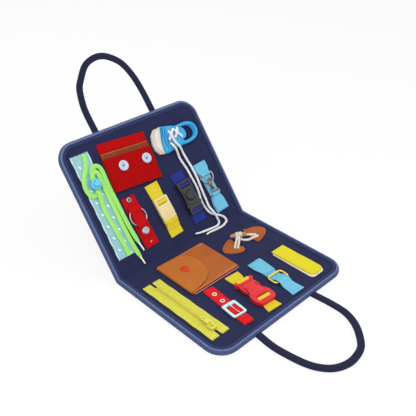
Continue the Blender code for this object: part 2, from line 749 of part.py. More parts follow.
def scaled(shares, at, size):
    """An outline from shares of a size, starting at a corner."""
    return [(at[0] + share[0] * size[0], at[1] + share[1] * size[1]) for share in shares]


def band(path, thick):
    """The outline of a strip of even thickness along a path of (a, b) points."""
    points = [Vector(point) for point in path]
    left = []
    right = []
    for i, point in enumerate(points):
        before = (point - points[i - 1]).normalized() if i else (points[1] - point).normalized()
        after = (points[i + 1] - point).normalized() if i < len(points) - 1 else before
        along = (before + after).normalized()
        normal = Vector((-along.y, along.x))
        reach = thick / 2 / max(0.5, normal.dot(Vector((-before.y, before.x))))
        left.append(tuple(point + normal * reach))
        right.append(tuple(point - normal * reach))
    return left + right[::-1]


def arch(bar_start, bar_end, bar_top, foot):
    """The path of webbing that loops over a bar and dips into the strap on both sides."""
    side = LOOP_GAP + WEBBING / 2
    top = bar_top + side
    start = bar_start - side
    end = bar_end + side
    corner = 0.6 * WEBBING
    return ((start, foot), (start, top - corner), (start + corner, top), (end - corner, top),
            (end, top - corner), (end, foot))


def looped_webbing(name, place, look, width, length, loops, loop_half):
    """A flat strap with narrower loops sewn over the bars of a buckle."""
    outline = corner_box(-width / 2, width / 2, 0, length, GAP, 2)
    strap = plate(name, place, look, outline, GAP, WEB_TOP)
    made = []
    for number, (start, end, top) in enumerate(loops):
        path = arch(start, end, top, GAP + WEBBING / 2)
        made.append(side_plate(f"{name}_loop{number}", place, look, band(path, WEBBING), 2 * loop_half))
    return combine(strap, made, 'UNION')


def buckle_half(points, slot, slot_half):
    """The mirrored outline of a buckle and the slot in it."""
    right = list(points)
    left = [(-across, outward) for across, outward in reversed(right)]
    hole = corner_box(-slot_half, slot_half, slot[0], slot[1], 2 * GAP, 2)
    return right + left, hole


def dome(radius, low, edge, top):
    """The profile of a flat-bottomed button with a rounded top."""
    rise = top - edge
    made = [(0, top)]
    for i in range(1, 4):
        angle = math.pi / 2 * i / 4
        made.append((radius * math.sin(angle), edge + rise * math.cos(angle)))
    return made + [(radius, edge), (radius, low), (0, low)]


# The two covers
CLOTH_LOW = -(LINING_THICK + GAP + BOARD_THICK + GAP + CLOTH_THICK)
FELT_LEVEL = -CLOTH_LOW
front = leaf("front_leaf", (0, COVER_DEPTH / 2, FELT_LEVEL), 0.0, -1)
crease = Vector((0, COVER_DEPTH / 2 + SPINE_HALF, FELT_LEVEL))
back_fold = crease + SPINE_HALF * Vector((0, math.cos(OPEN_TILT), math.sin(OPEN_TILT)))
back = leaf("back_leaf", back_fold, OPEN_TILT, 1)


def cover(side, place):
    """Outer cloth, board, lining and edge binding of one cover."""
    edge = BINDING_TAPE + GAP
    rim_low = CLOTH_LOW + CLOTH_THICK - CLOTH_RIM_THICK
    cloth_high = CLOTH_LOW + CLOTH_THICK
    cloth = plate(side + "_outer_cloth", place, "navy_felt", cover_outline(edge, FOLD_CLEARANCE), rim_low, cloth_high)
    inner = cover_outline(BINDING_LIP + GAP, FOLD_CLEARANCE)
    thick = plate(side + "_cloth_middle", place, "navy_felt", inner, CLOTH_LOW, cloth_high - CLOTH_RIM_THICK / 2)
    combine(cloth, [thick], 'UNION')
    board_low = cloth_high + GAP
    board = cover_outline(BOARD_INSET, BOARD_INSET)
    plate(side + "_board", place, "grey_board", board, board_low, board_low + BOARD_THICK)
    plate(side + "_lining", place, "navy_felt", cover_outline(edge, FOLD_CLEARANCE), -LINING_THICK, 0)
    outer = cover_outline(0, BINDING_START)
    tape = plate(side + "_binding", place, "denim_tape", outer, CLOTH_LOW, GAP + BINDING_TAPE)
    room = plate(side + "_room", place, "denim_tape", cover_outline(BINDING_TAPE, -BINDING_START),
                 CLOTH_LOW + BINDING_TAPE, GAP)
    opening = plate(side + "_opening", place, "denim_tape", cover_outline(BINDING_LIP, -BINDING_START),
                    CLOTH_LOW - BINDING_LIP, BINDING_LIP)
    combine(tape, [room, opening], 'DIFFERENCE')


cover("front", front)
cover("back", back)

# The spine: two soft plates, one on each side of the crease
spine_half = COVER_WIDTH / 2 - SPINE_SIDE_INSET
for name, place in (("spine_front", front), ("spine_back", back)):
    box(name, place, "navy_felt", (-spine_half, spine_half),
        (-SPINE_HALF + FOLD_CLEARANCE, -FOLD_CLEARANCE), (CLOTH_LOW, 0))


# Carrying handles on the outer edges
def handle(name, cover_place, route):
    """An arched webbing handle that turns about a line just outside the binding."""
    place = station(name + "_axis", cover_place, (0, HANDLE_AXIS), 0.0, HANDLE_HEIGHT)
    spots = [(across * MM, outward * MM, 0) for across, outward in route]
    points = smooth_route(spots, 1.35 * HANDLE_WIDTH)
    strap = tube(name, place, "navy_webbing", points, HANDLE_WIDTH, flat=HANDLE_THICK / HANDLE_WIDTH)
    ends = []
    for number, spot in enumerate((spots[0], spots[-1])):
        limits = (spot[0] - HANDLE_WIDTH / 2, spot[0] + HANDLE_WIDTH / 2)
        ends.append(pin(f"{name}_end{number}", place, "navy_webbing", HANDLE_THICK / 2, limits, 0, 0))
    combine(strap, ends, 'UNION')


handle("front_handle", front, FRONT_HANDLE_ROUTE)
handle("back_handle", back, BACK_HANDLE_ROUTE)

# Zip: two tapes held together by the chain, with a slider and its pull
zip_place = station("zip_place", front, (ZIP_ACROSS, ZIP_START))
half = ZIP_WIDTH / 2
slit = ZIP_SLIT / 2
chain_end = ZIP_LENGTH - ZIP_TAIL
tape_outline = ((slit, 0), (half, 0), (half, ZIP_LENGTH), (slit, ZIP_LENGTH), (slit, chain_end), (-slit, chain_end),
                (-slit, ZIP_LENGTH), (-half, ZIP_LENGTH), (-half, 0), (-slit, 0), (-slit, ZIP_END), (slit, ZIP_END))
tape = plate("zip_tape", zip_place, "lime_nylon", tape_outline, GAP, GAP + ZIP_TAPE)
chain = box("zip_chain", zip_place, "lime_nylon", (-CHAIN_HALF, CHAIN_HALF), (ZIP_END, chain_end),
            (GAP + ZIP_TAPE / 2, CHAIN_TOP))
combine(tape, [chain], 'UNION')

slider_place = station("zip_slider_place", front, (ZIP_ACROSS, ZIP_START + SLIDER_AT))
slider_low = GAP + ZIP_TAPE + GAP
roof_low = CHAIN_TOP + GAP
roof_top = roof_low + SLIDER_WALL
slider_span = (-SLIDER_LENGTH / 2, SLIDER_LENGTH / 2)
slider = box("zip_slider", slider_place, "lime_nylon", (-SLIDER_HALF, SLIDER_HALF), slider_span, (slider_low, roof_top))
soften(slider, GAP, 1)
tunnel = box("tunnel", slider_place, "lime_nylon", (-CHAIN_HALF - GAP, CHAIN_HALF + GAP),
             (-SLIDER_LENGTH, SLIDER_LENGTH), (0, roof_low))
combine(slider, [tunnel], 'DIFFERENCE')
bridge = box("bridge", slider_place, "lime_nylon", (-BRIDGE_HALF, BRIDGE_HALF),
             (-BRIDGE_LENGTH / 2, BRIDGE_LENGTH / 2), (roof_top - SLIDER_WALL / 2, roof_top + BRIDGE_RISE))
eye = pin("eye", slider_place, "lime_nylon", PULL_EYE, (-SLIDER_HALF, SLIDER_HALF), 0, PULL_AXIS)
combine(bridge, [eye], 'DIFFERENCE')
combine(slider, [bridge], 'UNION')

pull_place = station("zip_pull_axis", front, (ZIP_ACROSS, ZIP_START + SLIDER_AT), 0.0, PULL_AXIS)
pull_half = PULL_WIDTH / 2
pull_outline = [(PULL_NOTCH_HALF, PULL_EAR), (pull_half, PULL_EAR), (pull_half, PULL_EAR - PULL_LENGTH + pull_half)]
for i in range(1, ARC_STEPS):
    angle = math.pi * i / ARC_STEPS
    pull_outline.append((pull_half * math.cos(angle), PULL_EAR - PULL_LENGTH + pull_half - pull_half * math.sin(angle)))
pull_outline += [(-pull_half, PULL_EAR - PULL_LENGTH + pull_half), (-pull_half, PULL_EAR),
                 (-PULL_NOTCH_HALF, PULL_EAR), (-PULL_NOTCH_HALF, -PULL_NOTCH), (PULL_NOTCH_HALF, -PULL_NOTCH)]
pull = plate("zip_pull", pull_place, "lime_nylon", pull_outline, -PULL_THICK / 2, PULL_THICK / 2)
combine(pull, [pin("pull_pin", pull_place, "lime_nylon", PULL_PIN,
                   (-PULL_NOTCH_HALF - BRIDGE_HALF, PULL_NOTCH_HALF + BRIDGE_HALF), 0, 0)], 'UNION')

# Wallet: a folded leather pocket with a flap that snaps shut
wallet_place = station("wallet_place", front, (WALLET_LEFT, WALLET_START))
lower = GAP + LEATHER / 2
upper = lower + LEATHER + WALLET_ROOM
turn = (upper - lower) / 2
turn_at = WALLET_WIDTH - turn - LEATHER / 2
wallet_path = [(0, lower), (turn_at, lower)]
for i in range(1, ARC_STEPS):
    angle = math.pi * i / ARC_STEPS
    wallet_path.append((turn_at + turn * math.sin(angle), lower + turn - turn * math.cos(angle)))
wallet_path += [(turn_at, upper), (0, upper)]
front_plate("wallet_pocket", wallet_place, "tan_leather", band(wallet_path, LEATHER), 0, WALLET_DEPTH)
flap_low = upper + LEATHER / 2 + GAP
wallet_hinge = station("wallet_flap_axis", front, (WALLET_LEFT + WALLET_FLAP_GAP, WALLET_START), 0.0,
                       flap_low + LEATHER / 2)
flap_outline = scaled(WALLET_FLAP_SHARES, (-WALLET_FLAP_GAP, 0), (WALLET_FLAP_REACH, WALLET_DEPTH))
flap = plate("wallet_flap", wallet_hinge, "tan_leather", flap_outline, -LEATHER / 2, LEATHER / 2)
disc("wallet_snap", wallet_hinge, "orange_cap", SNAP_ACROSS, SNAP_OUTWARD,
     dome(SNAP_RADIUS, LEATHER / 2 + GAP, LEATHER / 2 + GAP + SNAP_RISE / 4, LEATHER / 2 + GAP + SNAP_RISE))

# Toggle: a peg on a cord, and a cord loop, each on its leather patch
toggle_place = station("toggle_place", front, (0, 0))
left_patch = smooth_outline(scaled(LEFT_PATCH_SHARES, LEFT_PATCH_AT, LEFT_PATCH_SIZE), 2)
plate("toggle_patch_left", toggle_place, "tan_leather", left_patch, GAP, GAP + PATCH_THICK)
right_patch = smooth_outline(scaled(RIGHT_PATCH_SHARES, RIGHT_PATCH_AT, RIGHT_PATCH_SIZE), 2)
patch = plate("toggle_patch_right", toggle_place, "tan_leather", right_patch, GAP, GAP + PATCH_THICK)
loop_points = smooth_route([(a * MM, o * MM, LOOP_HEIGHT) for a, o in ROPE_LOOP_ROUTE], 1.3 * ROPE)
combine(patch, [tube("rope_loop", toggle_place, "cream_rope", loop_points, ROPE, resolution=1)], 'UNION')

toggle_axis = station("toggle_axis", front, (TOGGLE_AXIS, 0), 0.0, PEG_CORD_ROUTE[0][2] * MM)
cord_start = Vector((TOGGLE_AXIS, 0, PEG_CORD_ROUTE[0][2] * MM))
cord_points = [Vector((a * MM, o * MM, h * MM)) - cord_start for a, o, h in PEG_CORD_ROUTE]
peg = disc("toggle_peg", toggle_axis, "cream_rope", 0, 0,
           ((0, PEG_LENGTH / 2), (0.7 * PEG_RADIUS, PEG_LENGTH / 2), (PEG_RADIUS, 0.36 * PEG_LENGTH),
            (PEG_RADIUS, 0.14 * PEG_LENGTH), (PEG_WAIST, 0.05 * PEG_LENGTH), (PEG_WAIST, -0.05 * PEG_LENGTH),
            (PEG_RADIUS, -0.14 * PEG_LENGTH), (PEG_RADIUS, -0.36 * PEG_LENGTH),
            (0.7 * PEG_RADIUS, -PEG_LENGTH / 2), (0, -PEG_LENGTH / 2)), SMALL_ROUND_STEPS)
peg.rotation_euler = (math.pi / 2, 0, math.pi / 2 - PEG_TURN)
peg.location = (PEG_AT[0] - TOGGLE_AXIS, toggle_axis.out * PEG_AT[1], PEG_HEIGHT - cord_start.z)
cord_tube = tube("peg_cord", toggle_axis, "cream_rope", smooth_route(cord_points, ROPE), ROPE, resolution=1)
combine(peg, [cord_tube], 'UNION')

# Red belt: strap with holes, tab, frame and prong
belt_place = station("belt_place", front, BELT_AT, BELT_LEAN)
belt_outline = corner_box(-BELT_WIDTH / 2, BELT_WIDTH / 2, 0, BELT_LENGTH, 2 * WEBBING, 3)
belt_holes = [ring_outline(0, hole, BELT_HOLE, SMALL_ROUND_STEPS) for hole in BELT_HOLES]
plate("belt_strap", belt_place, "red_webbing", belt_outline, GAP, WEB_TOP, belt_holes)
tab_radius = EYE_RADIUS + WEBBING / 2
tab_low = PIVOT_HEIGHT - tab_radius
tab_path = [(TAB_END, tab_low), (PIVOT_OUT, tab_low)]
for i in range(1, 2 * ARC_STEPS):
    angle = math.pi * i / (2 * ARC_STEPS)
    tab_path.append((PIVOT_OUT - tab_radius * math.sin(angle), PIVOT_HEIGHT - tab_radius * math.cos(angle)))
seam_height = tab_low + WEBBING + GAP
tab_path += [(PIVOT_OUT, PIVOT_HEIGHT + tab_radius), (PIVOT_OUT + tab_radius, PIVOT_HEIGHT + 0.72 * tab_radius),
             (TAB_SEAM, seam_height), (TAB_END, seam_height)]
tab = side_plate("belt_tab", belt_place, "red_webbing", band(tab_path, WEBBING), TAB_WIDTH)
tab_slot = box("tab_slot", belt_place, "red_webbing", (-TAB_SLOT_WIDTH / 2, TAB_SLOT_WIDTH / 2),
               (PIVOT_OUT - 2 * tab_radius, TAB_SLOT_END), (tab_low + WEBBING, 3 * PIVOT_HEIGHT))
ring_slot = box("ring_slot", belt_place, "red_webbing", (-TAB_SLOT_WIDTH / 2, TAB_SLOT_WIDTH / 2),
                (PIVOT_OUT - 2 * tab_radius, PIVOT_OUT + PRONG_RING + 2 * GAP), (-PIVOT_HEIGHT, 2 * PIVOT_HEIGHT))
combine(tab, [tab_slot, ring_slot], 'DIFFERENCE')

pivot_place = station("belt_pivot_at", belt_place, (0, PIVOT_OUT), 0.0, PIVOT_HEIGHT)
frame_start = FRAME_START - PIVOT_OUT
frame_end = PIVOT_BAR / 2
frame_outline = corner_box(-FRAME_HALF, FRAME_HALF, frame_start, frame_end + GAP, 3 * GAP, 3)
frame_hole = corner_box(-FRAME_OPEN_HALF, FRAME_OPEN_HALF, frame_start + FRAME_BAR, -PIVOT_BAR / 2, 2 * GAP, 2)
pin_frame = plate("pin_buckle_frame", pivot_place, "pale_metal", frame_outline, -FRAME_THICK / 2, FRAME_THICK / 2,
                  [frame_hole])
notch = box("notch", pivot_place, "pale_metal", (-FRAME_OPEN_HALF, FRAME_OPEN_HALF),
            (frame_end, frame_end + 2 * PIVOT_BAR), (-FRAME_THICK, FRAME_THICK))
combine(pin_frame, [notch], 'DIFFERENCE')
first = math.pi - math.asin(PRONG_LOW / PRONG_RING)
prong_outline = [(frame_start, PRONG_TOP - GAP), (frame_start, PRONG_LOW + GAP), (frame_start + GAP, PRONG_LOW)]
for i in range(2 * ARC_STEPS + 1):
    angle = first + (2.5 * math.pi - first) * i / (2 * ARC_STEPS)
    prong_outline.append((PRONG_RING * math.cos(angle), PRONG_RING * math.sin(angle)))
prong_outline.append((frame_start + FRAME_BAR, PRONG_TOP))
side_plate("pin_buckle_prong", pivot_place, "pale_metal", prong_outline, PRONG_WIDTH, 0.0,
           [ring_outline(0, 0, EYE_RADIUS, SMALL_ROUND_STEPS)])

# Red clip: plug with two springy arms in a socket, on one webbing
clip_place = station("clip_place", front, CLIP_AT, CLIP_LEAN)
plug_slot = (PLUG_START + PLUG_BAR, PLUG_START + PLUG_BAR + PLUG_SLOT)
socket_bar = (SOCKET_SLOT_END, SOCKET_END)
bar_top = CLIP_TOP - CLIP_BAR_DROP
clip_loops = ((PLUG_START, PLUG_START + PLUG_BAR, bar_top), (*socket_bar, bar_top))
looped_webbing("clip_strap", clip_place, "yellow_webbing", CLIP_WEB, CLIP_LENGTH, clip_loops, CLIP_LOOP_HALF)
socket_length = SOCKET_END - SOCKET_START
socket_points = [(x * SOCKET_HALF, SOCKET_START + y * socket_length) for x, y in SOCKET_SHARES]
socket_outline, socket_hole = buckle_half(socket_points, (SOCKET_SLOT_START, SOCKET_SLOT_END), SOCKET_SLOT_HALF)
socket = plate("clip_socket", clip_place, "red_plastic", socket_outline, CLIP_LOW, CLIP_TOP, [socket_hole])
cavity = box("cavity", clip_place, "red_plastic", (-CAVITY_HALF, CAVITY_HALF), (SOCKET_START - PLUG_BAR, CAVITY_END),
             (CAVITY_LOW, CAVITY_TOP))
low_bar = box("low_bar", clip_place, "red_plastic", (GAP - SOCKET_SLOT_HALF, SOCKET_SLOT_HALF - GAP),
              (SOCKET_SLOT_END - GAP, SOCKET_END + GAP), (bar_top, 2 * CLIP_TOP))
combine(socket, [cavity, low_bar], 'DIFFERENCE')
soften(socket, 2 * GAP, 1, 60)
plug_points = [(PLUG_HALF - GAP, PLUG_START), (PLUG_HALF, PLUG_START + GAP), (PLUG_HALF, PLUG_END - GAP),
               (ARM_OUT, PLUG_END + PLUG_BAR), (ARM_OUT + GAP, 0.5 * (PLUG_END + ARM_END)), (ARM_OUT, ARM_END - GAP),
               (ARM_OUT - GAP, ARM_END), (ARM_IN, ARM_END), (ARM_IN, PLUG_END + GAP), (ARM_IN - GAP, PLUG_END)]
plug_outline, plug_hole = buckle_half(plug_points, plug_slot, CLIP_SLOT_HALF)
plug = plate("clip_plug", clip_place, "red_plastic", plug_outline, CLIP_LOW, CLIP_TOP - GAP, [plug_hole])
low_bar = box("low_bar", clip_place, "red_plastic", (GAP - CLIP_SLOT_HALF, CLIP_SLOT_HALF - GAP),
              (PLUG_START - GAP, plug_slot[0] + GAP), (bar_top, 2 * CLIP_TOP))
combine(plug, [low_bar], 'DIFFERENCE')
tongue = box("tongue", clip_place, "red_plastic", (-TONGUE_HALF, TONGUE_HALF), (PLUG_END - GAP, TONGUE_END),
             (CAVITY_LOW + GAP, CAVITY_TOP - GAP))
combine(plug, [tongue], 'UNION')

# Light-blue webbing with a gold slider ring
slider_web = station("slider_web_place", front, RING_AT, RING_LEAN)
ring_height = BAR_LOW + RING_WIRE / 2
over = ring_height + RING_WIRE / 2 + LOOP_GAP + WEBBING / 2
flat_mid = GAP + WEBBING / 2
rise = RING_WIRE + WEBBING
web_path = ((0, flat_mid), (RING_NEAR + rise, flat_mid), (RING_FAR - rise, over - GAP), (RING_FAR, over + GAP),
            (RING_FAR + 0.8 * rise, over - GAP), (RING_FAR + 2.8 * rise, flat_mid), (RING_WEB_LENGTH, flat_mid))
side_plate("slider_strap", slider_web, "sky_webbing", band(web_path, WEBBING), RING_WEB)
ring_axis = station("slider_ring_axis", slider_web, (0, RING_FAR), 0.0, ring_height)
ring_points = corner_box(-RING_HALF, RING_HALF, RING_NEAR - RING_FAR, 0, RING_CORNER, 3)
tube("slider_ring", ring_axis, "gold_metal", [(a, o, 0) for a, o in ring_points], RING_WIRE, True)

# Hook-and-loop strap
peel_place = station("peel_place", front, PEEL_AT)
base_half = PEEL_BASE_WIDTH / 2
plate("hook_strip", peel_place, "cream_webbing",
      corner_box(-base_half, base_half, 0, PEEL_LENGTH, 0.25 * PEEL_BASE_WIDTH), GAP, GAP + PEEL_BASE)
peel_axis = station("loop_strap_axis", peel_place, (0, PEEL_AXIS_OUT), 0.0, 2 * GAP + PEEL_BASE + PEEL_THICK / 2)
strap_half = PEEL_WIDTH / 2
plate("loop_strap", peel_axis, "yellow_webbing",
      corner_box(-strap_half, strap_half, -PEEL_BEHIND, PEEL_LENGTH - PEEL_AXIS_OUT, 0.2 * PEEL_WIDTH),
      -PEEL_THICK / 2, PEEL_THICK / 2)

# Ribbon, green laces and the cord lock on them
ribbon_place = station("ribbon_place", back, RIBBON_AT)
ribbon_half = RIBBON_WIDTH / 2
plate("ribbon", ribbon_place, "teal_ribbon", corner_box(-ribbon_half, ribbon_half, 0, RIBBON_LENGTH, GAP, 1),
      GAP, GAP + RIBBON_THICK)


def in_metres(route):
    """Hand-chosen route points as lengths."""
    return [tuple(value * MM for value in point) for point in route]


lace_place = station("green_lace_place", back, (0, 0))
for name, route in (("green_lace_upper", UPPER_LACE_ROUTE), ("green_lace_lower", LOWER_LACE_ROUTE)):
    lace_points = smooth_route(in_metres(route), 0.5 * LACE_WIDTH)
    tube(name, lace_place, "green_lace", lace_points, LACE_WIDTH, flat=LACE_THICK / LACE_WIDTH)

lock_place = station("cord_lock_place", back, LOCK_AT)
lock = disc("cord_lock_body", lock_place, "blue_plastic", 0, 0,
            ((0, LOCK_TOP), (0.85 * LOCK_RADIUS, LOCK_TOP), (LOCK_RADIUS, 0.85 * LOCK_TOP),
             (LOCK_RADIUS, 0.2 * LOCK_TOP), (0.9 * LOCK_RADIUS, LOCK_LOW), (0, LOCK_LOW)))
channel = box("channel", lock_place, "blue_plastic", (-LOCK_CHANNEL_HALF, LOCK_CHANNEL_HALF),
              (-2 * LOCK_RADIUS, 2 * LOCK_RADIUS), (LOCK_CHANNEL_LOW, LOCK_CHANNEL_TOP))
well = disc("well", lock_place, "blue_plastic", 0, 0,
            ((0, 2 * LOCK_TOP), (LOCK_WELL, 2 * LOCK_TOP), (LOCK_WELL, LOCK_WELL_FLOOR), (0, LOCK_WELL_FLOOR)))
combine(lock, [channel, well], 'DIFFERENCE')
disc("cord_lock_button", lock_place, "blue_plastic", 0, 0,
     ((0, LOCK_BUTTON_TOP), (0.8 * LOCK_BUTTON, LOCK_BUTTON_TOP), (LOCK_BUTTON, 0.94 * LOCK_BUTTON_TOP),
      (LOCK_BUTTON, LOCK_BUTTON_LOW), (0, LOCK_BUTTON_LOW)), SMALL_ROUND_STEPS)

# Button pocket
pocket_place = station("pocket_place", back, POCKET_AT, POCKET_LEAN)
pocket_half = POCKET_WIDTH / 2
corner = 2 * POCKET_BACK
plate("pocket_back", pocket_place, "red_felt", corner_box(-pocket_half, pocket_half, 0, POCKET_DEPTH, corner, 3),
      GAP, GAP + POCKET_BACK)
leather_low = 2 * GAP + POCKET_BACK
leather_high = leather_low + POCKET_LEATHER
plate("pocket_leather", pocket_place, "tan_leather",
      corner_box(-pocket_half, pocket_half, 0, POCKET_LEATHER_DEPTH, corner, 3), leather_low, leather_high)
pocket_flap_low = leather_high + GAP
pocket_axis = station("pocket_flap_at", pocket_place, (0, POCKET_HINGE), 0.0, pocket_flap_low + POCKET_FLAP / 2)
flap_half = POCKET_FLAP_WIDTH / 2
button_out = BUTTON_OUT - POCKET_HINGE
button_rooms = [ring_outline(x, button_out, BUTTON_ROOM) for x in (BUTTON_LEFT, BUTTON_RIGHT)]
plate("pocket_flap", pocket_axis, "red_felt",
      corner_box(-flap_half, flap_half, -POCKET_HINGE, POCKET_FLAP_DEPTH - POCKET_HINGE, corner, 3),
      -POCKET_FLAP / 2, POCKET_FLAP / 2, button_rooms)
button_low = pocket_flap_low + POCKET_FLAP + GAP
for name, across in (("button_left", BUTTON_LEFT), ("button_right", BUTTON_RIGHT)):
    disc(name, pocket_place, "pale_plastic", across, BUTTON_OUT,
         ((0, button_low + 0.72 * BUTTON_THICK), (0.62 * BUTTON_RADIUS, button_low + 0.72 * BUTTON_THICK),
          (0.76 * BUTTON_RADIUS, button_low + BUTTON_THICK), (0.93 * BUTTON_RADIUS, button_low + BUTTON_THICK),
          (BUTTON_RADIUS, button_low + 0.6 * BUTTON_THICK), (0.94 * BUTTON_RADIUS, button_low),
          (BUTTON_SHANK, button_low), (BUTTON_SHANK, leather_high + GAP), (0, leather_high + GAP)))

# Toy shoe
shoe_place = station("shoe_place", back, SHOE_AT)
cap_outline = scaled(CAP_SHARES, (0, 0), SHOE_SIZE)
toe = plate("shoe_toe_cap", shoe_place, "white_rubber", cap_outline, GAP, CAP_TOP)
soften(toe, SHOE_ROUND, 2, 60)
collar = smooth_outline(scaled(COLLAR_SHARES, (0, 0), SHOE_SIZE), 2)
shoe = plate("shoe_upper", shoe_place, "blue_foam", scaled(UPPER_SHARES, (0, 0), SHOE_SIZE), GAP, SHOE_TOP, [collar])
soften(shoe, 0.6 * SHOE_ROUND, 2, 60)


def on_cover(place, point):
    """A point on a cover as a point of the whole book."""
    across, outward, height = point
    stretch = COVER_DEPTH / LACES_DRAWN_DEPTH
    local = Vector((across * MM, place.out * outward * MM * stretch, height * MM))
    return place.empty.matrix_world @ local


bpy.context.view_layer.update()
left_route = [on_cover(back, p) for p in LEFT_LACE_ROUTE] + [on_cover(front, p) for p in LEFT_LACE_REST]
right_route = [on_cover(back, p) for p in RIGHT_LACE_ROUTE] + [on_cover(front, p) for p in RIGHT_LACE_REST]
right_route += [on_cover(back, p) for p in RIGHT_LACE_END]
tube("lace_left", None, "white_lace", smooth_route(left_route, 1.6 * WHITE_LACE), WHITE_LACE)
tube("lace_right", None, "white_lace", smooth_route(right_route, 1.6 * WHITE_LACE), WHITE_LACE)

# Snap strap holding a ring
snap_place = station("snap_place", back, SNAP_AT, SNAP_LEAN)
web_half = SNAP_WEB / 2
plate("snap_strap_base", snap_place, "red_webbing", corner_box(-web_half, web_half, 0, SNAP_LENGTH, GAP, 1),
      GAP, WEB_TOP)
o_height = BAR_LOW + O_RING_WIRE / 2
o_points = [(a, o, o_height) for a, o in ring_outline(0, RING_OUT, RING_RADIUS, 24)]
tube("o_ring", snap_place, "silver_metal", o_points, O_RING_WIRE, True)
tongue_mid = BAR_LOW + WEBBING / 2
tongue_over = BAR_LOW + O_RING_WIRE + 2 * LOOP_GAP + WEBBING / 2
tongue_axis = station("snap_tongue_axis", snap_place, (0, TONGUE_PIVOT), 0.0, tongue_mid)
far_edge = RING_OUT + RING_RADIUS
near_edge = RING_OUT - RING_RADIUS
ramp = O_RING_WIRE / 2 + 1.7 * WEBBING
tongue_path = [(TONGUE_PIVOT + WEBBING / 2, tongue_mid), (far_edge + ramp, tongue_mid), (far_edge, tongue_over + GAP),
               (far_edge - ramp, tongue_over), (near_edge + ramp, tongue_over), (near_edge, tongue_over + GAP),
               (near_edge - ramp, tongue_mid), (TONGUE_TIP, tongue_mid)]
tongue_path = [(o - TONGUE_PIVOT, h - tongue_mid) for o, h in tongue_path]
tongue = side_plate("snap_strap_tongue", tongue_axis, "red_webbing", band(tongue_path, WEBBING), TONGUE_WEB)
cap = disc("snap_cap", tongue_axis, "silver_metal", 0, TONGUE_CAP_OUT - TONGUE_PIVOT,
           dome(CAP_RADIUS, 0, WEBBING / 2 + GAP, WEBBING / 2 + CAP_RISE), SMALL_ROUND_STEPS)
combine(tongue, [cap], 'UNION')

# Yellow strap and cream buckle
cream_place = station("cream_place", back, CREAM_AT, CREAM_LEAN)
cream_bar_top = CREAM_TOP - CREAM_BAR_DROP
cream_slot = (CREAM_PLUG_START + CREAM_BAR, CREAM_PLUG_START + CREAM_BAR + CREAM_PLUG_SLOT)
cream_loops = ((CREAM_PLUG_START, cream_slot[0], cream_bar_top), (CREAM_SLOT_END, CREAM_SOCKET_END, cream_bar_top))
looped_webbing("yellow_strap", cream_place, "yellow_webbing", CREAM_WEB, CREAM_LENGTH, cream_loops, CREAM_LOOP_HALF)


def strap_buckle(name, place, look, half, start, end, slot, slot_half, high, bar_high, bar, corner):
    """A flat buckle piece with one slot and a lowered bar for the webbing."""
    outline = corner_box(-half, half, start, end, corner, 3)
    hole = corner_box(-slot_half, slot_half, slot[0], slot[1], 2 * GAP, 1)
    piece = plate(name, place, look, outline, BAR_LOW, high, [hole])
    lowered = box("lowered", place, look, (GAP - slot_half, slot_half - GAP), bar, (bar_high, 2 * high))
    return combine(piece, [lowered], 'DIFFERENCE')


cream_socket = strap_buckle("cream_socket", cream_place, "cream_plastic", CREAM_HALF, CREAM_PLUG_END + GAP,
                            CREAM_SOCKET_END, (CREAM_SLOT_START, CREAM_SLOT_END), CREAM_SLOT_HALF, CREAM_TOP,
                            cream_bar_top, (CREAM_SLOT_END - GAP, CREAM_SOCKET_END + GAP), 2 * GAP)
cavity = box("cavity", cream_place, "cream_plastic", (-CREAM_TONGUE_HALF - GAP, CREAM_TONGUE_HALF + GAP),
             (CREAM_PLUG_END - GAP, CREAM_CAVITY_END), (CREAM_CAVITY_LOW, CREAM_CAVITY_TOP))
combine(cream_socket, [cavity], 'DIFFERENCE')
cream_plug = strap_buckle("cream_plug", cream_place, "cream_plastic", CREAM_HALF, CREAM_PLUG_START, CREAM_PLUG_END,
                          cream_slot, CREAM_SLOT_HALF, CREAM_TOP, cream_bar_top,
                          (CREAM_PLUG_START - GAP, cream_slot[0] + GAP), 2 * GAP)
tongue = box("tongue", cream_place, "cream_plastic", (-CREAM_TONGUE_HALF, CREAM_TONGUE_HALF),
             (CREAM_PLUG_END - GAP, CREAM_TONGUE_END), (CREAM_CAVITY_LOW + GAP, CREAM_CAVITY_TOP - GAP))
combine(cream_plug, [tongue], 'UNION')

# Navy strap and push buckle
navy_place = station("navy_place", back, NAVY_AT, NAVY_LEAN)
navy_bar_top = NAVY_TOP - NAVY_BAR_DROP
navy_slot = (NAVY_PLUG_START + NAVY_BAR, NAVY_PLUG_START + NAVY_BAR + NAVY_PLUG_SLOT)
navy_loops = ((NAVY_PLUG_START, navy_slot[0], navy_bar_top), (NAVY_SLOT_END, NAVY_BODY_END, navy_bar_top))
looped_webbing("navy_strap", navy_place, "navy_webbing", NAVY_WEB, NAVY_LENGTH, navy_loops, NAVY_LOOP_HALF)
push_body = strap_buckle("push_buckle_body", navy_place, "black_plastic", NAVY_HALF, NAVY_PLUG_END + GAP,
                         NAVY_BODY_END, (NAVY_SLOT_START, NAVY_SLOT_END), NAVY_SLOT_HALF, NAVY_TOP, navy_bar_top,
                         (NAVY_SLOT_END - GAP, NAVY_BODY_END + GAP), NAVY_CORNER)
cavity = box("cavity", navy_place, "black_plastic", (-NAVY_TONGUE_HALF - GAP, NAVY_TONGUE_HALF + GAP),
             (NAVY_PLUG_END - GAP, NAVY_CAVITY_END), (NAVY_CAVITY_LOW, NAVY_CAVITY_TOP))
well = disc("well", navy_place, "black_plastic", 0, NAVY_WELL_OUT,
            ((0, 2 * NAVY_TOP), (NAVY_WELL, 2 * NAVY_TOP), (NAVY_WELL, NAVY_WELL_FLOOR), (0, NAVY_WELL_FLOOR)))
combine(push_body, [cavity, well], 'DIFFERENCE')
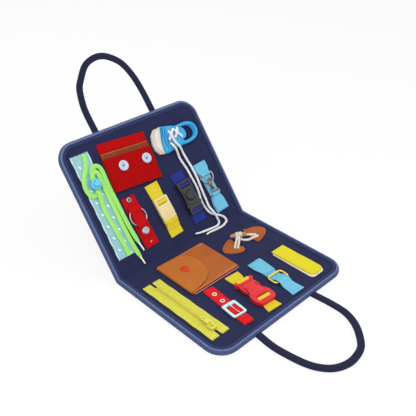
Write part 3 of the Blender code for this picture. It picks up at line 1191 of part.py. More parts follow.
push_plug = strap_buckle("push_buckle_plug", navy_place, "black_plastic", NAVY_HALF, NAVY_PLUG_START, NAVY_PLUG_END,
                         navy_slot, NAVY_SLOT_HALF, NAVY_TOP, navy_bar_top,
                         (NAVY_PLUG_START - GAP, navy_slot[0] + GAP), NAVY_CORNER)
tongue = box("tongue", navy_place, "black_plastic", (-NAVY_TONGUE_HALF, NAVY_TONGUE_HALF),
             (NAVY_PLUG_END - GAP, NAVY_TONGUE_END), (NAVY_CAVITY_LOW + GAP, NAVY_CAVITY_TOP - GAP))
combine(push_plug, [tongue], 'UNION')
disc("push_button", navy_place, "black_plastic", 0, NAVY_WELL_OUT,
     dome(NAVY_BUTTON, NAVY_BUTTON_LOW, NAVY_BUTTON_EDGE, NAVY_BUTTON_TOP))

# Light-blue strap with a D-ring and a snap hook
hook_place = station("hook_place", back, HOOK_AT, HOOK_LEAN)
wire_top = BAR_LOW + D_WIRE
wire_half = D_WIRE / 2
hook_web_half = HOOK_WEB / 2
hook_web = plate("hook_strap", hook_place, "sky_webbing",
                 corner_box(-hook_web_half, hook_web_half, 0, HOOK_WEB_LENGTH, GAP, 1), GAP, WEB_TOP)
top_loop = side_plate("top_loop", hook_place, "sky_webbing",
                      band(arch(D_BAR_OUT - wire_half, D_BAR_OUT + wire_half, wire_top, flat_mid), WEBBING),
                      2 * D_LOOP_HALF)
base_loop = side_plate("base_loop", hook_place, "sky_webbing",
                       band(arch(BASE_BAR_OUT - wire_half, BASE_BAR_OUT + wire_half, wire_top, flat_mid), WEBBING),
                       2 * BASE_LOOP_HALF)
combine(hook_web, [top_loop, base_loop], 'UNION')
d_points = [(-D_HALF, D_BAR_OUT, D_HEIGHT), (D_HALF, D_BAR_OUT, D_HEIGHT)]
for i in range(1, 2 * ARC_STEPS):
    angle = math.pi * i / (2 * ARC_STEPS)
    lift = math.sin(angle)
    d_points.append((D_HALF * math.cos(angle), D_BAR_OUT - D_DEPTH * lift, D_HEIGHT + D_RISE * lift))
tube("d_ring", hook_place, "silver_metal", d_points, D_WIRE, True)
base_points = [(BASE_HALF, BASE_BAR_OUT, D_HEIGHT), (-BASE_HALF, BASE_BAR_OUT, D_HEIGHT)]
for i in range(1, 2 * ARC_STEPS):
    angle = math.pi * i / (2 * ARC_STEPS)
    base_points.append((-BASE_HALF * math.cos(angle), BASE_BAR_OUT + BASE_DEPTH * math.sin(angle), D_HEIGHT))
snap_hook = tube("snap_hook", hook_place, "silver_metal", base_points, D_WIRE, True)
hook_points = smooth_route(in_metres(HOOK_ROUTE), HOOK_WIRE)
bar_place = station("d_bar_place", hook_place, (0, D_BAR_OUT))
combine(snap_hook, [tube("hook_curve", bar_place, "silver_metal", hook_points, HOOK_WIRE)], 'UNION')
gate_place = station("hook_gate_at", bar_place, GATE_PIVOT, 0.0, GATE_HEIGHT)
gate_tip = (GATE_TIP[0] - GATE_PIVOT[0], GATE_TIP[1] - GATE_PIVOT[1], 0)
gate_points = smooth_route([(0, 0, 0), tuple(value / 2 for value in gate_tip), gate_tip], 2 * GATE_WIDTH)
tube("hook_gate", gate_place, "silver_metal", gate_points, GATE_WIDTH, resolution=1)

for piece in book.objects:
    if piece.type == 'MESH':
        for face in piece.data.polygons:
            face.use_smooth = True
        piece.data.set_sharp_from_angle(angle=math.radians(35))
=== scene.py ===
import math

import bmesh
import bpy
from mathutils import Matrix, Vector


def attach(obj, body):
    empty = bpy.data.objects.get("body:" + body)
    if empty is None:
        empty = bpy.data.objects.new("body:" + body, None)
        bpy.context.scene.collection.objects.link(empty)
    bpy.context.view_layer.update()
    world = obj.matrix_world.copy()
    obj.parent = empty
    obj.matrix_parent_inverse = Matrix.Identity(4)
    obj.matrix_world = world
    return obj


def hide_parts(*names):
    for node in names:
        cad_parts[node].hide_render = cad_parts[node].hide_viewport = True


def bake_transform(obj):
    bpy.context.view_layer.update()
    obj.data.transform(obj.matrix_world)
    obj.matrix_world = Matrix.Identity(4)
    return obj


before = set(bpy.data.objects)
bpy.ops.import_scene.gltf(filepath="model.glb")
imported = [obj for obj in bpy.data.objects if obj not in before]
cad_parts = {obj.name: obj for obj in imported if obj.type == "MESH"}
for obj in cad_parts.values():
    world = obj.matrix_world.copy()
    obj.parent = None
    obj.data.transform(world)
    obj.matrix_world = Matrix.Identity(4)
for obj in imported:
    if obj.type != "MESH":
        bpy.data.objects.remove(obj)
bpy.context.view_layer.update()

MM = 0.001
TILT = math.radians(52.3)

# In millimetres
HALF = 130  # half a cover's width
DEPTH = 191  # a cover's depth
CORNER = 28  # the radius of its outer corners
UNDER = -6.1  # the underside of the cloth at a fold
SEAM = 8  # how far from the fold line a cover's cloth starts
MID_SPINE = 7.8  # from a fold to the middle of its half of the spine

SHARP = 50  # edges that turn by more degrees than this stay sharp
STITCH_SHARE = 0.7  # how much of its step a stitch takes
UP = Vector((0, 0, 1))
SIDES = (("left", -1), ("right", 1))
ACROSS = (-1, -0.96, -0.7, -0.35, 0, 0.35, 0.7, 0.96, 1)  # places across a strap


# Shader writing
class Value:
    """A socket that can be written in sums."""

    def __init__(self, finish, socket):
        self.finish = finish
        self.socket = socket

    def math(self, operation, *others):
        return self.finish.node('Math', {'operation': operation}, dict(enumerate((self, *others))))

    def __add__(self, other):
        return self.math('ADD', other)

    def __sub__(self, other):
        return self.math('SUBTRACT', other)

    def __mul__(self, other):
        return self.math('MULTIPLY', other)

    def __truediv__(self, other):
        return self.math('DIVIDE', other)

    def __rsub__(self, other):
        return self.finish.node('Math', {'operation': 'SUBTRACT'}, {0: other, 1: self})

    def wave(self, pitch):
        """A sine with its pitch in millimetres."""
        return (self * (2 * math.pi / pitch)).math('SINE')

    def size(self):
        return self.math('ABSOLUTE')

    def between(self, low, high):
        return self.math('MAXIMUM', low).math('MINIMUM', high)


def colour_of(code):
    """A colour from its six hex digits, as a shader takes it."""
    made = []
    for i in (0, 2, 4):
        part = int(code[i:i + 2], 16) / 255
        made.append(part / 12.92 if part < 0.04045 else ((part + 0.055) / 1.055) ** 2.4)
    return (*made, 1.0)


class Finish:
    """One material and its nodes."""

    def __init__(self, name, roughness=0.8, metallic=0.0, **sockets):
        self.material = bpy.data.materials.new(name)
        self.material.use_nodes = True
        self.tree = self.material.node_tree
        self.shader = self.tree.nodes['Principled BSDF']
        self.set(Roughness=roughness, Metallic=metallic, **sockets)
        place = self.node('TexCoord', {}, {}, 'Object')
        self.place = self.node('VectorMath', {'operation': 'SCALE'}, {0: place, 'Scale': 1000.0})
        self.x = self.node('SeparateXYZ', {}, {0: self.place}, 0)
        self.y = Value(self, self.x.socket.node.outputs[1])
        self.z = Value(self, self.x.socket.node.outputs[2])

    def node(self, kind, settings, values, output=0):
        made = self.tree.nodes.new('ShaderNode' + kind)
        for key, value in settings.items():
            setattr(made, key, value)
        for key, value in values.items():
            self.feed(made.inputs[key], value)
        return Value(self, made.outputs[output])

    def feed(self, socket, value):
        if isinstance(value, Value):
            self.tree.links.new(value.socket, socket)
        else:
            socket.default_value = value

    def set(self, **sockets):
        for key, value in sockets.items():
            self.feed(self.shader.inputs[key.replace('_', ' ')], value)

    def noise(self, scale, detail=2.0, stretch=None):
        """Noise with so many cells in a millimetre, finer along an axis that is stretched."""
        spot = self.place
        if stretch:
            spot = self.node('VectorMath', {'operation': 'MULTIPLY'}, {0: spot, 1: stretch})
        return self.node('TexNoise', {}, {'Vector': spot, 'Scale': scale, 'Detail': detail})

    def mix(self, factor, first, second):
        return self.node('Mix', {'data_type': 'RGBA'}, {0: factor, 6: first, 7: second}, 2)

    def shade(self, factor, dark, light):
        """Colour the piece from dark to light by a factor of 0 to 1."""
        self.set(Base_Color=self.mix(factor, colour_of(dark), colour_of(light)))

    def bump(self, height, distance):
        """Relief from a height of 0 to 1, with its depth in millimetres."""
        normal = self.node('Bump', {}, {'Height': height, 'Distance': distance * MM, 'Strength': 1.0})
        self.set(Normal=normal)


def felt(name, dark, light, fuzz=0.25):
    """Pressed felt: fine fibres and a soft mottle."""
    made = Finish(name, 0.95, 0.0, Sheen_Weight=fuzz * 0.35, Sheen_Roughness=0.5, Specular_IOR_Level=0.15)
    fibre = made.noise(2.6, 4.0)
    mottle = made.noise(0.12, 3.0)
    made.shade(fibre * 0.6 + mottle * 0.4, dark, light)
    made.bump(fibre + made.noise(0.9, 2.0, (1.0, 3.0, 1.0)) * 0.6, 0.35)
    return made.material


def thread(name, dark, light):
    return felt(f"{name}_thread", dark, light, 0.1)


def canvas(name, dark, light, pitch=0.9, depth=0.2):
    """Plain-woven cloth with slightly uneven threads."""
    made = Finish(name, 0.92, 0.0, Sheen_Weight=0.03, Specular_IOR_Level=0.15)
    threads = made.x.wave(pitch) * made.y.wave(pitch) * 0.5 + 0.5
    slub = made.noise(0.5, 3.0, (0.15, 2.0, 1.0))
    mottle = made.noise(0.05, 3.0)
    made.shade(threads * 0.35 + slub * 0.35 + mottle * 0.3, dark, light)
    made.bump(threads + slub * 0.4, depth)
    return made.material


def twill(name, dark, light, pitch=1.1):
    """Diagonal weave worn pale on its high threads."""
    made = Finish(name, 0.9, 0.0, Sheen_Weight=0.05, Specular_IOR_Level=0.2)
    ridge = (made.x + made.y + made.z * 1.3).wave(pitch) * 0.5 + 0.5
    wear = made.noise(0.25, 4.0)
    made.shade(ridge * 0.45 + wear * 0.55, dark, light)
    made.bump(ridge + made.noise(2.0) * 0.5, 0.18)
    return made.material


def webbing(name, dark, light, pitch=1.3, depth=0.3, shine=0.75):
    """Strap weave: ribs across, columns along, and shade between them."""
    made = Finish(name, shine, 0.0, Sheen_Weight=0.04, Specular_IOR_Level=0.25)
    columns = made.x.wave(2 * pitch)
    ribs = (made.y + columns * 0.22).wave(pitch) * 0.5 + 0.5
    weave = ribs * (columns.size() * 0.5 + 0.5)
    uneven = made.noise(0.2, 3.0)
    made.shade(weave * 0.5 + uneven * 0.5, dark, light)
    made.bump(weave, depth)
    return made.material


def leather(name, dark, light, grain=1.1):
    """Smooth hide: pebbled grain, cloudy colour and faint scuffs."""
    made = Finish(name, 0.5, 0.0, Specular_IOR_Level=0.2)
    cloud = made.noise(0.045, 4.0)
    pebble = made.node('TexVoronoi', {}, {'Vector': made.place, 'Scale': grain})
    scuff = made.noise(0.35, 5.0, (0.3, 2.2, 1.0))
    made.shade(cloud * 0.75 + scuff * 0.25, dark, light)
    made.set(Roughness=scuff * 0.25 + 0.4)
    made.bump(pebble * 0.6 + scuff * 0.4, 0.12)
    return made.material


def plastic(name, code, roughness=0.35, other=None, depth=0.03, gloss=0.5):
    """Moulded plastic with a faint skin texture and cloudy tint."""
    made = Finish(name, roughness, 0.0, Specular_IOR_Level=gloss)
    made.shade(made.noise(0.08, 2.0), code, other or code)
    made.set(Roughness=made.noise(0.6, 3.0) * 0.14 + (roughness - 0.05))
    made.bump(made.noise(3.0), depth)
    return made.material


def metal(name, code, dull, roughness=0.25):
    """Plated wire with drawn streaks and dull patches."""
    made = Finish(name, roughness, 1.0)
    patch = made.noise(0.25, 4.0)
    made.shade(patch, dull, code)
    made.set(Roughness=patch * 0.2 + (roughness - 0.08))
    made.bump(made.noise(1.2, 3.0, (3.0, 0.4, 3.0)), 0.02)
    return made.material


def braid(name, dark, light, pitch, depth):
    """Braided cord: crossing yarns that follow its route."""
    made = Finish(name, 0.7, 0.0, Sheen_Weight=0.05, Specular_IOR_Level=0.3)
    along, around = (made.node('Attribute', {'attribute_name': label}, {}, 'Fac') for label in ("along", "around"))
    first = (along / pitch + around * 4).wave(1.0)
    second = (along / pitch - around * 4).wave(1.0)
    yarn = first.math('MAXIMUM', second) * 0.5 + 0.5
    uneven = made.noise(0.4, 3.0)
    made.shade(yarn * 0.7 + uneven * 0.3, dark, light)
    made.bump(yarn, depth)
    return made.material


# Places on the two covers
class Place:
    """Where an item sits: its frame, which way outward runs, and its body."""

    def __init__(self, matrix, out, body):
        self.matrix = matrix
        self.out = out
        self.body = body

    def at(self, across, outward, lean=0.0, height=0.0, body=None):
        shift = Matrix.Translation((across * MM, self.out * outward * MM, height * MM))
        turn = Matrix.Rotation(-self.out * math.radians(lean), 4, 'Z')
        return Place(self.matrix @ shift @ turn, self.out, body or self.body)

    def on(self, body):
        """The same place riding on another body, or on none."""
        return Place(self.matrix, self.out, body)

    def local(self, point):
        return Vector((point[0] * MM, self.out * point[1] * MM, point[2] * MM))

    def world(self, point):
        return self.matrix @ self.local(point)


FRONT_FOLD = Vector((0, 95.5, 6.1))
REAR_FOLD = Vector((0, 120.64, 18.443))
CREASE = Vector((0, 111.1, 6.1))
FRONT = Place(Matrix.Translation((0, 95.5 * MM, 6.1 * MM)), -1, "front_cover")
BACK = Place(Matrix.Translation((0, 120.64 * MM, 18.443 * MM)) @ Matrix.Rotation(TILT, 4, 'X'), 1, "back_cover")
BOOK = Place(Matrix.Identity(4), 1, None)


# Mesh making
def piece(name, place, points, faces, finish, stands_for=(), along=None, smooth=SHARP):
    """A mesh piece on its place."""
    mesh = bpy.data.meshes.new(name)
    mesh.from_pydata([place.local(p) for p in points], [], faces)
    if along:
        for label, values in zip(("along", "around"), along):
            mesh.attributes.new(label, 'FLOAT', 'POINT').data.foreach_set("value", values)
    mend(mesh)
    return put(name, place, mesh, finish, stands_for, smooth)


def mend(mesh, merge=0.0):
    """Join points closer than a distance in millimetres and turn all faces outward."""
    work = bmesh.new()
    work.from_mesh(mesh)
    if merge:
        bmesh.ops.remove_doubles(work, verts=work.verts, dist=merge * MM)
    bmesh.ops.recalc_face_normals(work, faces=work.faces)
    work.to_mesh(mesh)
    work.free()


def linked(name, data):
    """A new object in the scene."""
    shape = bpy.data.objects.new(name, data)
    bpy.context.scene.collection.objects.link(shape)
    return shape


def put(name, place, mesh, finish, stands_for=(), smooth=SHARP):
    """A finished mesh as a piece that rides on its place's body."""
    for face in mesh.polygons:
        face.use_smooth = True
    mesh.set_sharp_from_angle(angle=math.radians(smooth))
    mesh.materials.append(finish)
    shape = linked(name, mesh)
    shape.matrix_world = place.matrix
    if place.body:
        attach(shape, place.body)
    if stands_for:
        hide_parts(*stands_for)
    return shape


def evaluated(shape):
    """A shape's mesh with its modifiers applied, and the shape removed."""
    bpy.context.view_layer.update()
    seen = shape.evaluated_get(bpy.context.evaluated_depsgraph_get())
    mesh = bpy.data.meshes.new_from_object(seen)
    bpy.data.objects.remove(shape, do_unlink=True)
    mesh.materials.clear()
    return mesh


def raised(name, place, outlines, low, high):
    """A plain solid between two heights, from its outline and the outlines of its holes."""
    curve = bpy.data.curves.new(name, 'CURVE')
    curve.dimensions = '2D'
    curve.fill_mode = 'BOTH'
    curve.extrude = (high - low) / 2 * MM
    for line in outlines:
        spline = curve.splines.new('POLY')
        spline.points.add(len(line) - 1)
        for spot, (across, outward) in zip(spline.points, line):
            spot.co = (*place.local((across, outward, 0)).xy, 0, 1)
        spline.use_cyclic_u = True
    mesh = evaluated(linked(name, curve))
    mesh.transform(Matrix.Translation((0, 0, (high + low) / 2 * MM)))
    return mesh


def plate(name, place, outline, low, high, finish, holes=(), edge=0.3, stands_for=(), steps=3):
    """A flat piece with rounded edges between two heights."""
    mesh = raised(name, place, (outline, *holes), low, high)
    mend(mesh, 0.01)
    if edge:
        shape = linked(name, mesh)
        round_off = shape.modifiers.new("edge", 'BEVEL')
        round_off.width = edge * MM
        round_off.segments = steps
        round_off.limit_method = 'ANGLE'
        round_off.angle_limit = math.radians(SHARP)
        mesh = evaluated(shape)
    return put(name, place, mesh, finish, stands_for)


def curved(p0, p1, p2, p3, steps):
    """Points on a smooth curve from p1 towards p2."""
    shares = [step / steps for step in range(steps)]
    return [0.5 * ((2 * p1) + (p2 - p0) * t + (2 * p0 - 5 * p1 + 4 * p2 - p3) * t * t
                   + (3 * p1 - p0 - 3 * p2 + p3) * t * t * t) for t in shares]


def smooth_route(route, spacing):
    """Points at even spacing on a smooth curve through given ones."""
    knots = [Vector(point) for point in route]
    knots = [knots[0] * 2 - knots[1]] + knots + [knots[-1] * 2 - knots[-2]]
    fine = []
    for i in range(1, len(knots) - 2):
        fine += curved(*knots[i - 1:i + 3], 16)
    return even([*fine, knots[-2]], spacing)


def even(line, spacing):
    """A line's points moved to even spacing."""
    line = [Vector(point) for point in line]
    total = sum((b - a).length for a, b in zip(line, line[1:]))
    count = max(2, round(total / spacing))
    stride = total / count
    made = [line[0]]
    walked = 0.0
    for a, b in zip(line, line[1:]):
        length = (b - a).length
        while len(made) < count and walked + length >= stride * len(made):
            made.append(a.lerp(b, (stride * len(made) - walked) / length))
        walked += length
    made.append(line[-1])
    return made


def smooth_outline(points, steps):
    """A closed outline rounded through its points."""
    count = len(points)
    made = []
    for i in range(count):
        made += curved(*(Vector(points[(i + k) % count]) for k in (-1, 0, 1, 2)), steps)
    return [tuple(point) for point in made]


def quarter(across, outward, radius, first, steps):
    """A quarter circle that starts at an angle in degrees."""
    angles = [math.radians(first + 90 * i / steps) for i in range(steps + 1)]
    return [(across + radius * math.cos(angle), outward + radius * math.sin(angle)) for angle in angles]


def corner_box(left, right, start, end, radius, steps=6):
    """A rectangle outline with rounded corners."""
    made = []
    corners = ((right - radius, start + radius, -90), (right - radius, end - radius, 0),
               (left + radius, end - radius, 90), (left + radius, start + radius, 180))
    for across, outward, first in corners:
        made += quarter(across, outward, radius, first, steps)
    return made


def ring(across, outward, radius, steps=32):
    """A circle outline."""
    turns = [2 * math.pi * i / steps for i in range(steps)]
    return [(across + radius * math.cos(turn), outward + radius * math.sin(turn)) for turn in turns]


def scaled(shares, at, size):
    """An outline from shares of a size, starting at a corner."""
    return [(at[0] + share[0] * size[0], at[1] + share[1] * size[1]) for share in shares]


def mirrored(half, steps):
    """A smooth outline from its right half."""
    return smooth_outline([*half, *((-x, y) for x, y in reversed(half))], steps)


def strap_section(width, thick, steps=3):
    """A flat section with rounded edges."""
    edge = min(thick / 2, width / 4)
    return corner_box(-width / 2, width / 2, -thick / 2, thick / 2, edge * 0.98, steps)


def round_section(diameter, steps=12):
    return ring(0, 0, diameter / 2, steps)


def sweep(name, place, route, section, finish, wide='level', closed=False, sizes=None, stands_for=(), spin=0.0,
          smooth=SHARP):
    """A section of (wide, thick) points drawn along a route."""
    spots = [Vector(point) for point in route]
    count = len(spots)
    points = []
    along = []
    around = []
    walked = 0.0
    side = Vector((1, 0, 0)) if wide in ('level', 'carried') else Vector(wide)
    for i, spot in enumerate(spots):
        if closed:
            ahead = spots[(i + 1) % count] - spots[i - 1]
        else:
            ahead = way_at(spots, i)
        ahead.normalize()
        if wide == 'level':
            level = ahead.cross(UP)
            if level.length > 0.25:
                side = level
        elif wide != 'carried':
            side = Vector(wide)
        side = (side - ahead * side.dot(ahead)).normalized()
        normal = ahead.cross(side)
        size = sizes(i / (count - 1)) if sizes else 1.0
        turn = spin * walked
        for k, (w, t) in enumerate(section):
            w, t = w * math.cos(turn) - t * math.sin(turn), w * math.sin(turn) + t * math.cos(turn)
            points.append(spot + (side * w + normal * t) * size)
            along.append(walked)
            around.append(k / len(section))
        walked += (spots[(i + 1) % count] - spot).length if i < count - 1 else 0
    n = len(section)
    faces = bands(count, n, 0, closed)
    if not closed:
        faces.append(tuple(range(n))[::-1])
        faces.append(tuple(range((count - 1) * n, count * n)))
    return piece(name, place, points, faces, finish, stands_for, (along, around), smooth)


def turned(name, place, across, outward, profile, finish, steps=32, stands_for=()):
    """A turned piece standing on its place, from (radius, height) points."""
    points = []
    rows = []
    for radius, height in profile:
        if radius == 0:
            rows.append([len(points)] * steps)
            points.append((across, outward, height))
        else:
            rows.append(list(range(len(points), len(points) + steps)))
            points += [(a, o, height) for a, o in ring(across, outward, radius, steps)]
    faces = []
    for above, below in zip(rows, rows[1:]):
        for k in range(steps):
            m = (k + 1) % steps
            corners = list(dict.fromkeys((above[k], above[m], below[m], below[k])))
            if len(corners) > 2:
                faces.append(tuple(corners))
    return piece(name, place, points, faces, finish, stands_for)


def bands(rows, size, first=0, closed=False):
    """Faces between rings of points that follow each other."""
    faces = []
    for i in range(rows if closed else rows - 1):
        here = first + i * size
        there = first + (i + 1) % rows * size
        for k in range(size):
            m = (k + 1) % size
            faces.append((here + k, here + m, there + m, there + k))
    return faces


def way_at(line, i):
    """The way a line runs at one of its points."""
    return line[min(i + 1, len(line) - 1)] - line[max(i - 1, 0)]


def flat_area(outline):
    """The area inside an outline in millimetres, in square metres."""
    total = sum(a[0] * b[1] - b[0] * a[1] for a, b in zip(outline, outline[1:] + outline[:1]))
    return abs(total) / 2 * MM * MM


def cloth(name, place, grid, thick, finish, stands_for=(), smooth=SHARP):
    """A sheet of even thickness around a grid of middle points."""
    rows = len(grid)
    columns = len(grid[0])
    grid = [[Vector(point) for point in row] for row in grid]
    points = []
    for side in (1, -1):
        for i in range(rows):
            for j in range(columns):
                u = grid[min(i + 1, rows - 1)][j] - grid[max(i - 1, 0)][j]
                v = grid[i][min(j + 1, columns - 1)] - grid[i][max(j - 1, 0)]
                points.append(grid[i][j] + u.cross(v).normalized() * (side * thick / 2))
    total = rows * columns
    faces = []
    for i in range(rows - 1):
        for j in range(columns - 1):
            a = i * columns + j
            b = a + columns
            faces.append((a, a + 1, b + 1, b))
            faces.append((a + total, b + total, b + 1 + total, a + 1 + total))
    rim = list(range(columns))
    rim += [i * columns + columns - 1 for i in range(1, rows)]
    rim += [(rows - 1) * columns + j for j in range(columns - 2, -1, -1)]
    rim += [i * columns for i in range(rows - 2, 0, -1)]
    for a, b in zip(rim, rim[1:] + rim[:1]):
        faces.append((a, a + total, b + total, b))
    return piece(name, place, points, faces, finish, stands_for, None, smooth)


def stitching(name, place, route, finish, step, thick):
    """A row of thread stitches that dip into the cloth at their ends."""
    walk = even(route, step)
    points = []
    faces = []
    for a, b in zip(walk, walk[1:]):
        ahead = (b - a) * STITCH_SHARE
        side = ahead.cross(UP).normalized() * thick / 2
        first = len(points)
        for t, sink in ((0, 0.75), (0.2, 0.15), (0.8, 0.15), (1, 0.75)):
            middle = a + ahead * t - Vector((0, 0, sink * thick))
            for k in range(5):
                angle = 2 * math.pi * k / 5
                points.append(middle + side * math.cos(angle) + Vector((0, 0, thick / 2 * math.sin(angle))))
        faces += bands(4, 5, first)
        faces += [tuple(range(first, first + 5)), tuple(range(first + 15, first + 20))]
    return piece(name, place, points, faces, finish)


# Camera, light and floor
scene = bpy.context.scene
scene.view_settings.view_transform = 'Standard'
eye = linked("camera", bpy.data.cameras.new("camera"))
eye.location = (-516.5 * MM, -469.2 * MM, 578.4 * MM)
eye.rotation_euler = (math.radians(90 - 33.20), 0, math.radians(-44.25))
eye.data.lens = 54.38
eye.data.sensor_width = 36
scene.camera = eye


def lamp(name, spot, aim, size, power):
    """A soft square lamp aimed at a point."""
    light = bpy.data.lights.new(name, 'AREA')
    light.size = size
    light.energy = power
    holder = linked(name, light)
    holder.location = spot
    holder.rotation_euler = (Vector(aim) - Vector(spot)).to_track_quat('-Z', 'Y').to_euler()


lamp("key", (-0.9, -0.5, 1.5), (0, 0.05, 0.05), 1.0, 14)
lamp("fill", (0.9, -1.1, 1.1), (0, 0.05, 0.05), 1.4, 7)
lamp("rim", (0.2, 1.3, 1.3), (0, 0.1, 0.1), 1.0, 5)


def white_for_eye(tree, surface, kind, share, end):
    """Mix a plain white into a surface for rays that come from the eye, glass or metal."""
    nodes = tree.nodes
    path = nodes.new('ShaderNodeLightPath')
    amount = path.outputs['Is Camera Ray']
    for operation, other in (('MAXIMUM', 'Is Glossy Ray'), ('MAXIMUM', 'Is Transmission Ray'), ('MULTIPLY', None)):
        step = nodes.new('ShaderNodeMath')
        step.operation = operation
        step.inputs[1].default_value = share
        tree.links.new(amount, step.inputs[0])
        if other:
            tree.links.new(path.outputs[other], step.inputs[1])
        amount = step.outputs[0]
    glow = nodes.new('ShaderNode' + kind)
    glow.inputs['Color'].default_value = (1, 1, 1, 1)
    glow.inputs['Strength'].default_value = 1.0
    blend = nodes.new('ShaderNodeMixShader')
    for number, socket in enumerate((amount, surface.outputs[0], glow.outputs[0])):
        tree.links.new(socket, blend.inputs[number])
    tree.links.new(blend.outputs[0], nodes[end].inputs[0])


world = bpy.data.worlds.new("studio")
world.use_nodes = True
scene.world = world
sky = world.node_tree.nodes['Background']
sky.inputs['Color'].default_value = (1, 1, 1, 1)
sky.inputs['Strength'].default_value = 0.62
white_for_eye(world.node_tree, sky, 'Background', 1.0, 'World Output')

floor_mesh = bpy.data.meshes.new("floor")
reach = 3.0
floor_mesh.from_pydata([(-reach, -reach, 0), (reach, -reach, 0), (reach, reach, 0), (-reach, reach, 0)], [],
                       [(0, 1, 2, 3)])
floor = linked("floor", floor_mesh)
floor.location = (0, 0, -0.2 * MM)
pale = bpy.data.materials.new("pale_floor")
pale.use_nodes = True
paper = pale.node_tree.nodes['Principled BSDF']
paper.inputs['Base Color'].default_value = (0.92, 0.92, 0.92, 1)
paper.inputs['Roughness'].default_value = 0.9
white_for_eye(pale.node_tree, paper, 'Emission', 0.8, 'Material Output')
floor_mesh.materials.append(pale)

# Finishes of the book and its items
NAVY_FELT = canvas("navy_lining_felt", "131630", "32365f", 0.8, 0.14)
NAVY_BACK = felt("navy_outer_felt", "161936", "292c54", 0.1)
DENIM = twill("denim_binding", "2a3860", "596896", 1.0)
# Lighter denim on the binding's crest is a painted highlight; darker denim on its inner flange and groove is painted
# shade
DENIM_PAINTED_HIGHLIGHT = twill("denim_painted_highlight", "4a5a8a", "7886b0")
DENIM_PAINTED_SHADE = twill("denim_painted_shade", "1c244a", "3a4670")
NAVY_BAND = webbing("navy_handle_band", "0c0e24", "20244a", 1.4, 0.22, 0.85)
NAVY_WEB = webbing("navy_webbing_weave", "142070", "2436a0", 1.2, 0.3, 0.6)
SKY_WEB = webbing("sky_webbing_weave", "58b2d6", "86d0ea", 1.2, 0.25, 0.6)
YELLOW_WEB = webbing("yellow_webbing_weave", "d8bc10", "efe03a", 1.2, 0.25, 0.6)
RED_WEB = felt("red_strap_felt", "c80810", "f02028", 0.2)
RED_FELT = felt("red_pocket_felt", "940000", "b80000", 0.0)
LIME = webbing("lime_zip_tape", "ccc62e", "ecea68", 0.9, 0.2, 0.6)
TAN = leather("tan_wallet_hide", "984c18", "bc682a")
FLAP_TAN = leather("flap_hide", "a4581c", "c8742e")
TAN_EDGE = leather("pale_hide_edge", "d08a50", "e6a870")
RUST = leather("rust_patch_hide", "944818", "ba6630")
BROWN = leather("brown_band_hide", "6c2206", "8e380c")
ROPE = braid("cream_rope_yarn", "dcd4c0", "fcf8ec", 1.6, 0.4)
GREEN = braid("green_lace_braid", "74d446", "b4f684", 1.5, 0.25)
WHITE = braid("white_lace_braid", "d4d6de", "fafafc", 1.4, 0.3)
AGLET = plastic("clear_lace_tip", "eef6dc", 0.25, "fafcf2")
NAVY_THREAD = thread("dark_navy", "0c0e26", "1c2044")
DENIM_THREAD = thread("denim", "2c3c74", "4c5c98")

# The cords
LACE = 7.2
LACE_THICK = 1.6
WHITE_LACE = 3.8
UPPER_LACE = ((-91.6, 167.3, 2), (-94, 156, 2), (-101, 144, 2), (-108.5, 134, 2), (-111.8, 124, 2),
              (-111.5, 114, 2), (-107, 107.5, 2), (-100.5, 106.5, 2.4), (-97.4, 111, 3.3), (-97.2, 117, 3.3),
              (-97, 124, 3.3), (-96, 131, 3.1), (-92, 140.5, 2.2), (-84.5, 145.5, 2.0), (-77.8, 142.5, 1.5),
              (-75.8, 133.6, 1.5), (-76.6, 118, 1.5), (-76.8, 102, 1.5), (-76.4, 78, 1.5), (-76, 55, 1.5),
              (-74.6, 35, 1.5), (-72.8, 20, 1.5), (-71.4, 11.5, 1.5), (-70.4, 5.5, 1.5))
LOWER_LACE = ((-95.9, 9, 2), (-95.5, 23.6, 2), (-97, 40, 2), (-98.4, 60, 2), (-99.9, 76, 2),
              (-99.4, 90, 2.6), (-98.6, 98, 4.2), (-97.6, 106, 5.2), (-97.2, 113, 5.2), (-97, 121, 5.2),
              (-96, 130, 5.0), (-93, 136.2, 4.6), (-88.4, 138, 4.4), (-85, 134, 4.0),
              (-84.4, 125, 3.2), (-84.4, 105, 2.2), (-84.4, 79, 2.2), (-84.6, 53, 2.2), (-84, 31, 2.2),
              (-82.5, 14, 1.8), (-81, 2, 2.0), (-79.8, -6, 2.2), (-79, -12.6, 2.6))
LEFT_BACK = ((49.2, 132.4, 7.6), (49.4, 131.8, 9.4), (50, 130, 10.7), (51.4, 126, 11), (53.5, 121.2, 9.8),
             (56, 114, 5.6), (57.4, 106.5, 2.5), (59.1, 96, 2.4), (61.1, 85.5, 2.4),
             (62.1, 72.6, 2.4), (63.1, 58.8, 2.4), (62.8, 46.6, 2.4), (60.6, 35.5, 2.4), (60, 26, 2.4),
             (61.6, 16.6, 2.4), (65.4, 8, 2.4), (71.4, 2.3, 2.4), (80, -2.6, 2.4),
             (86.5, -8.5, 2.4), (88, -13.5, 3.0))
LEFT_FRONT = ((84.5, -10.5, 2.4), (73.2, -6.2, 2.4), (59.2, -6, 2.4), (46.7, -7.5, 2.4), (37.8, -7, 2.4))
RIGHT_BACK = ((54.8, 151.7, 7.6), (54.8, 151.1, 9.4), (54.6, 149.2, 11.2), (54.2, 142.8, 13.8), (54.7, 138.6, 13.4),
              (56.2, 133.4, 12), (58.8, 127.6, 11.2), (62, 122.6, 10), (65.4, 117, 5.6), (67.6, 110.9, 2.5),
              (69, 98.9, 2.4), (70.5, 88, 2.4), (71.1, 80.2, 2.4), (71.6, 66.3, 2.4), (70.6, 53.3, 2.4),
              (69.7, 41.4, 2.4), (69.2, 27.9, 2.4), (67.9, 17.4, 3.6), (68.6, 8, 6.8), (70.6, 1.4, 6.8),
              (72.4, -6, 4.4),
              (73, -12.1, 3.4))
RIGHT_FRONT = ((66.5, -12.2, 2.6), (58, -12.4, 2.4), (46.5, -14, 2.8))
RIGHT_END = ((32.5, -12.6, 2.8), (23.5, -10.5, 2.4))


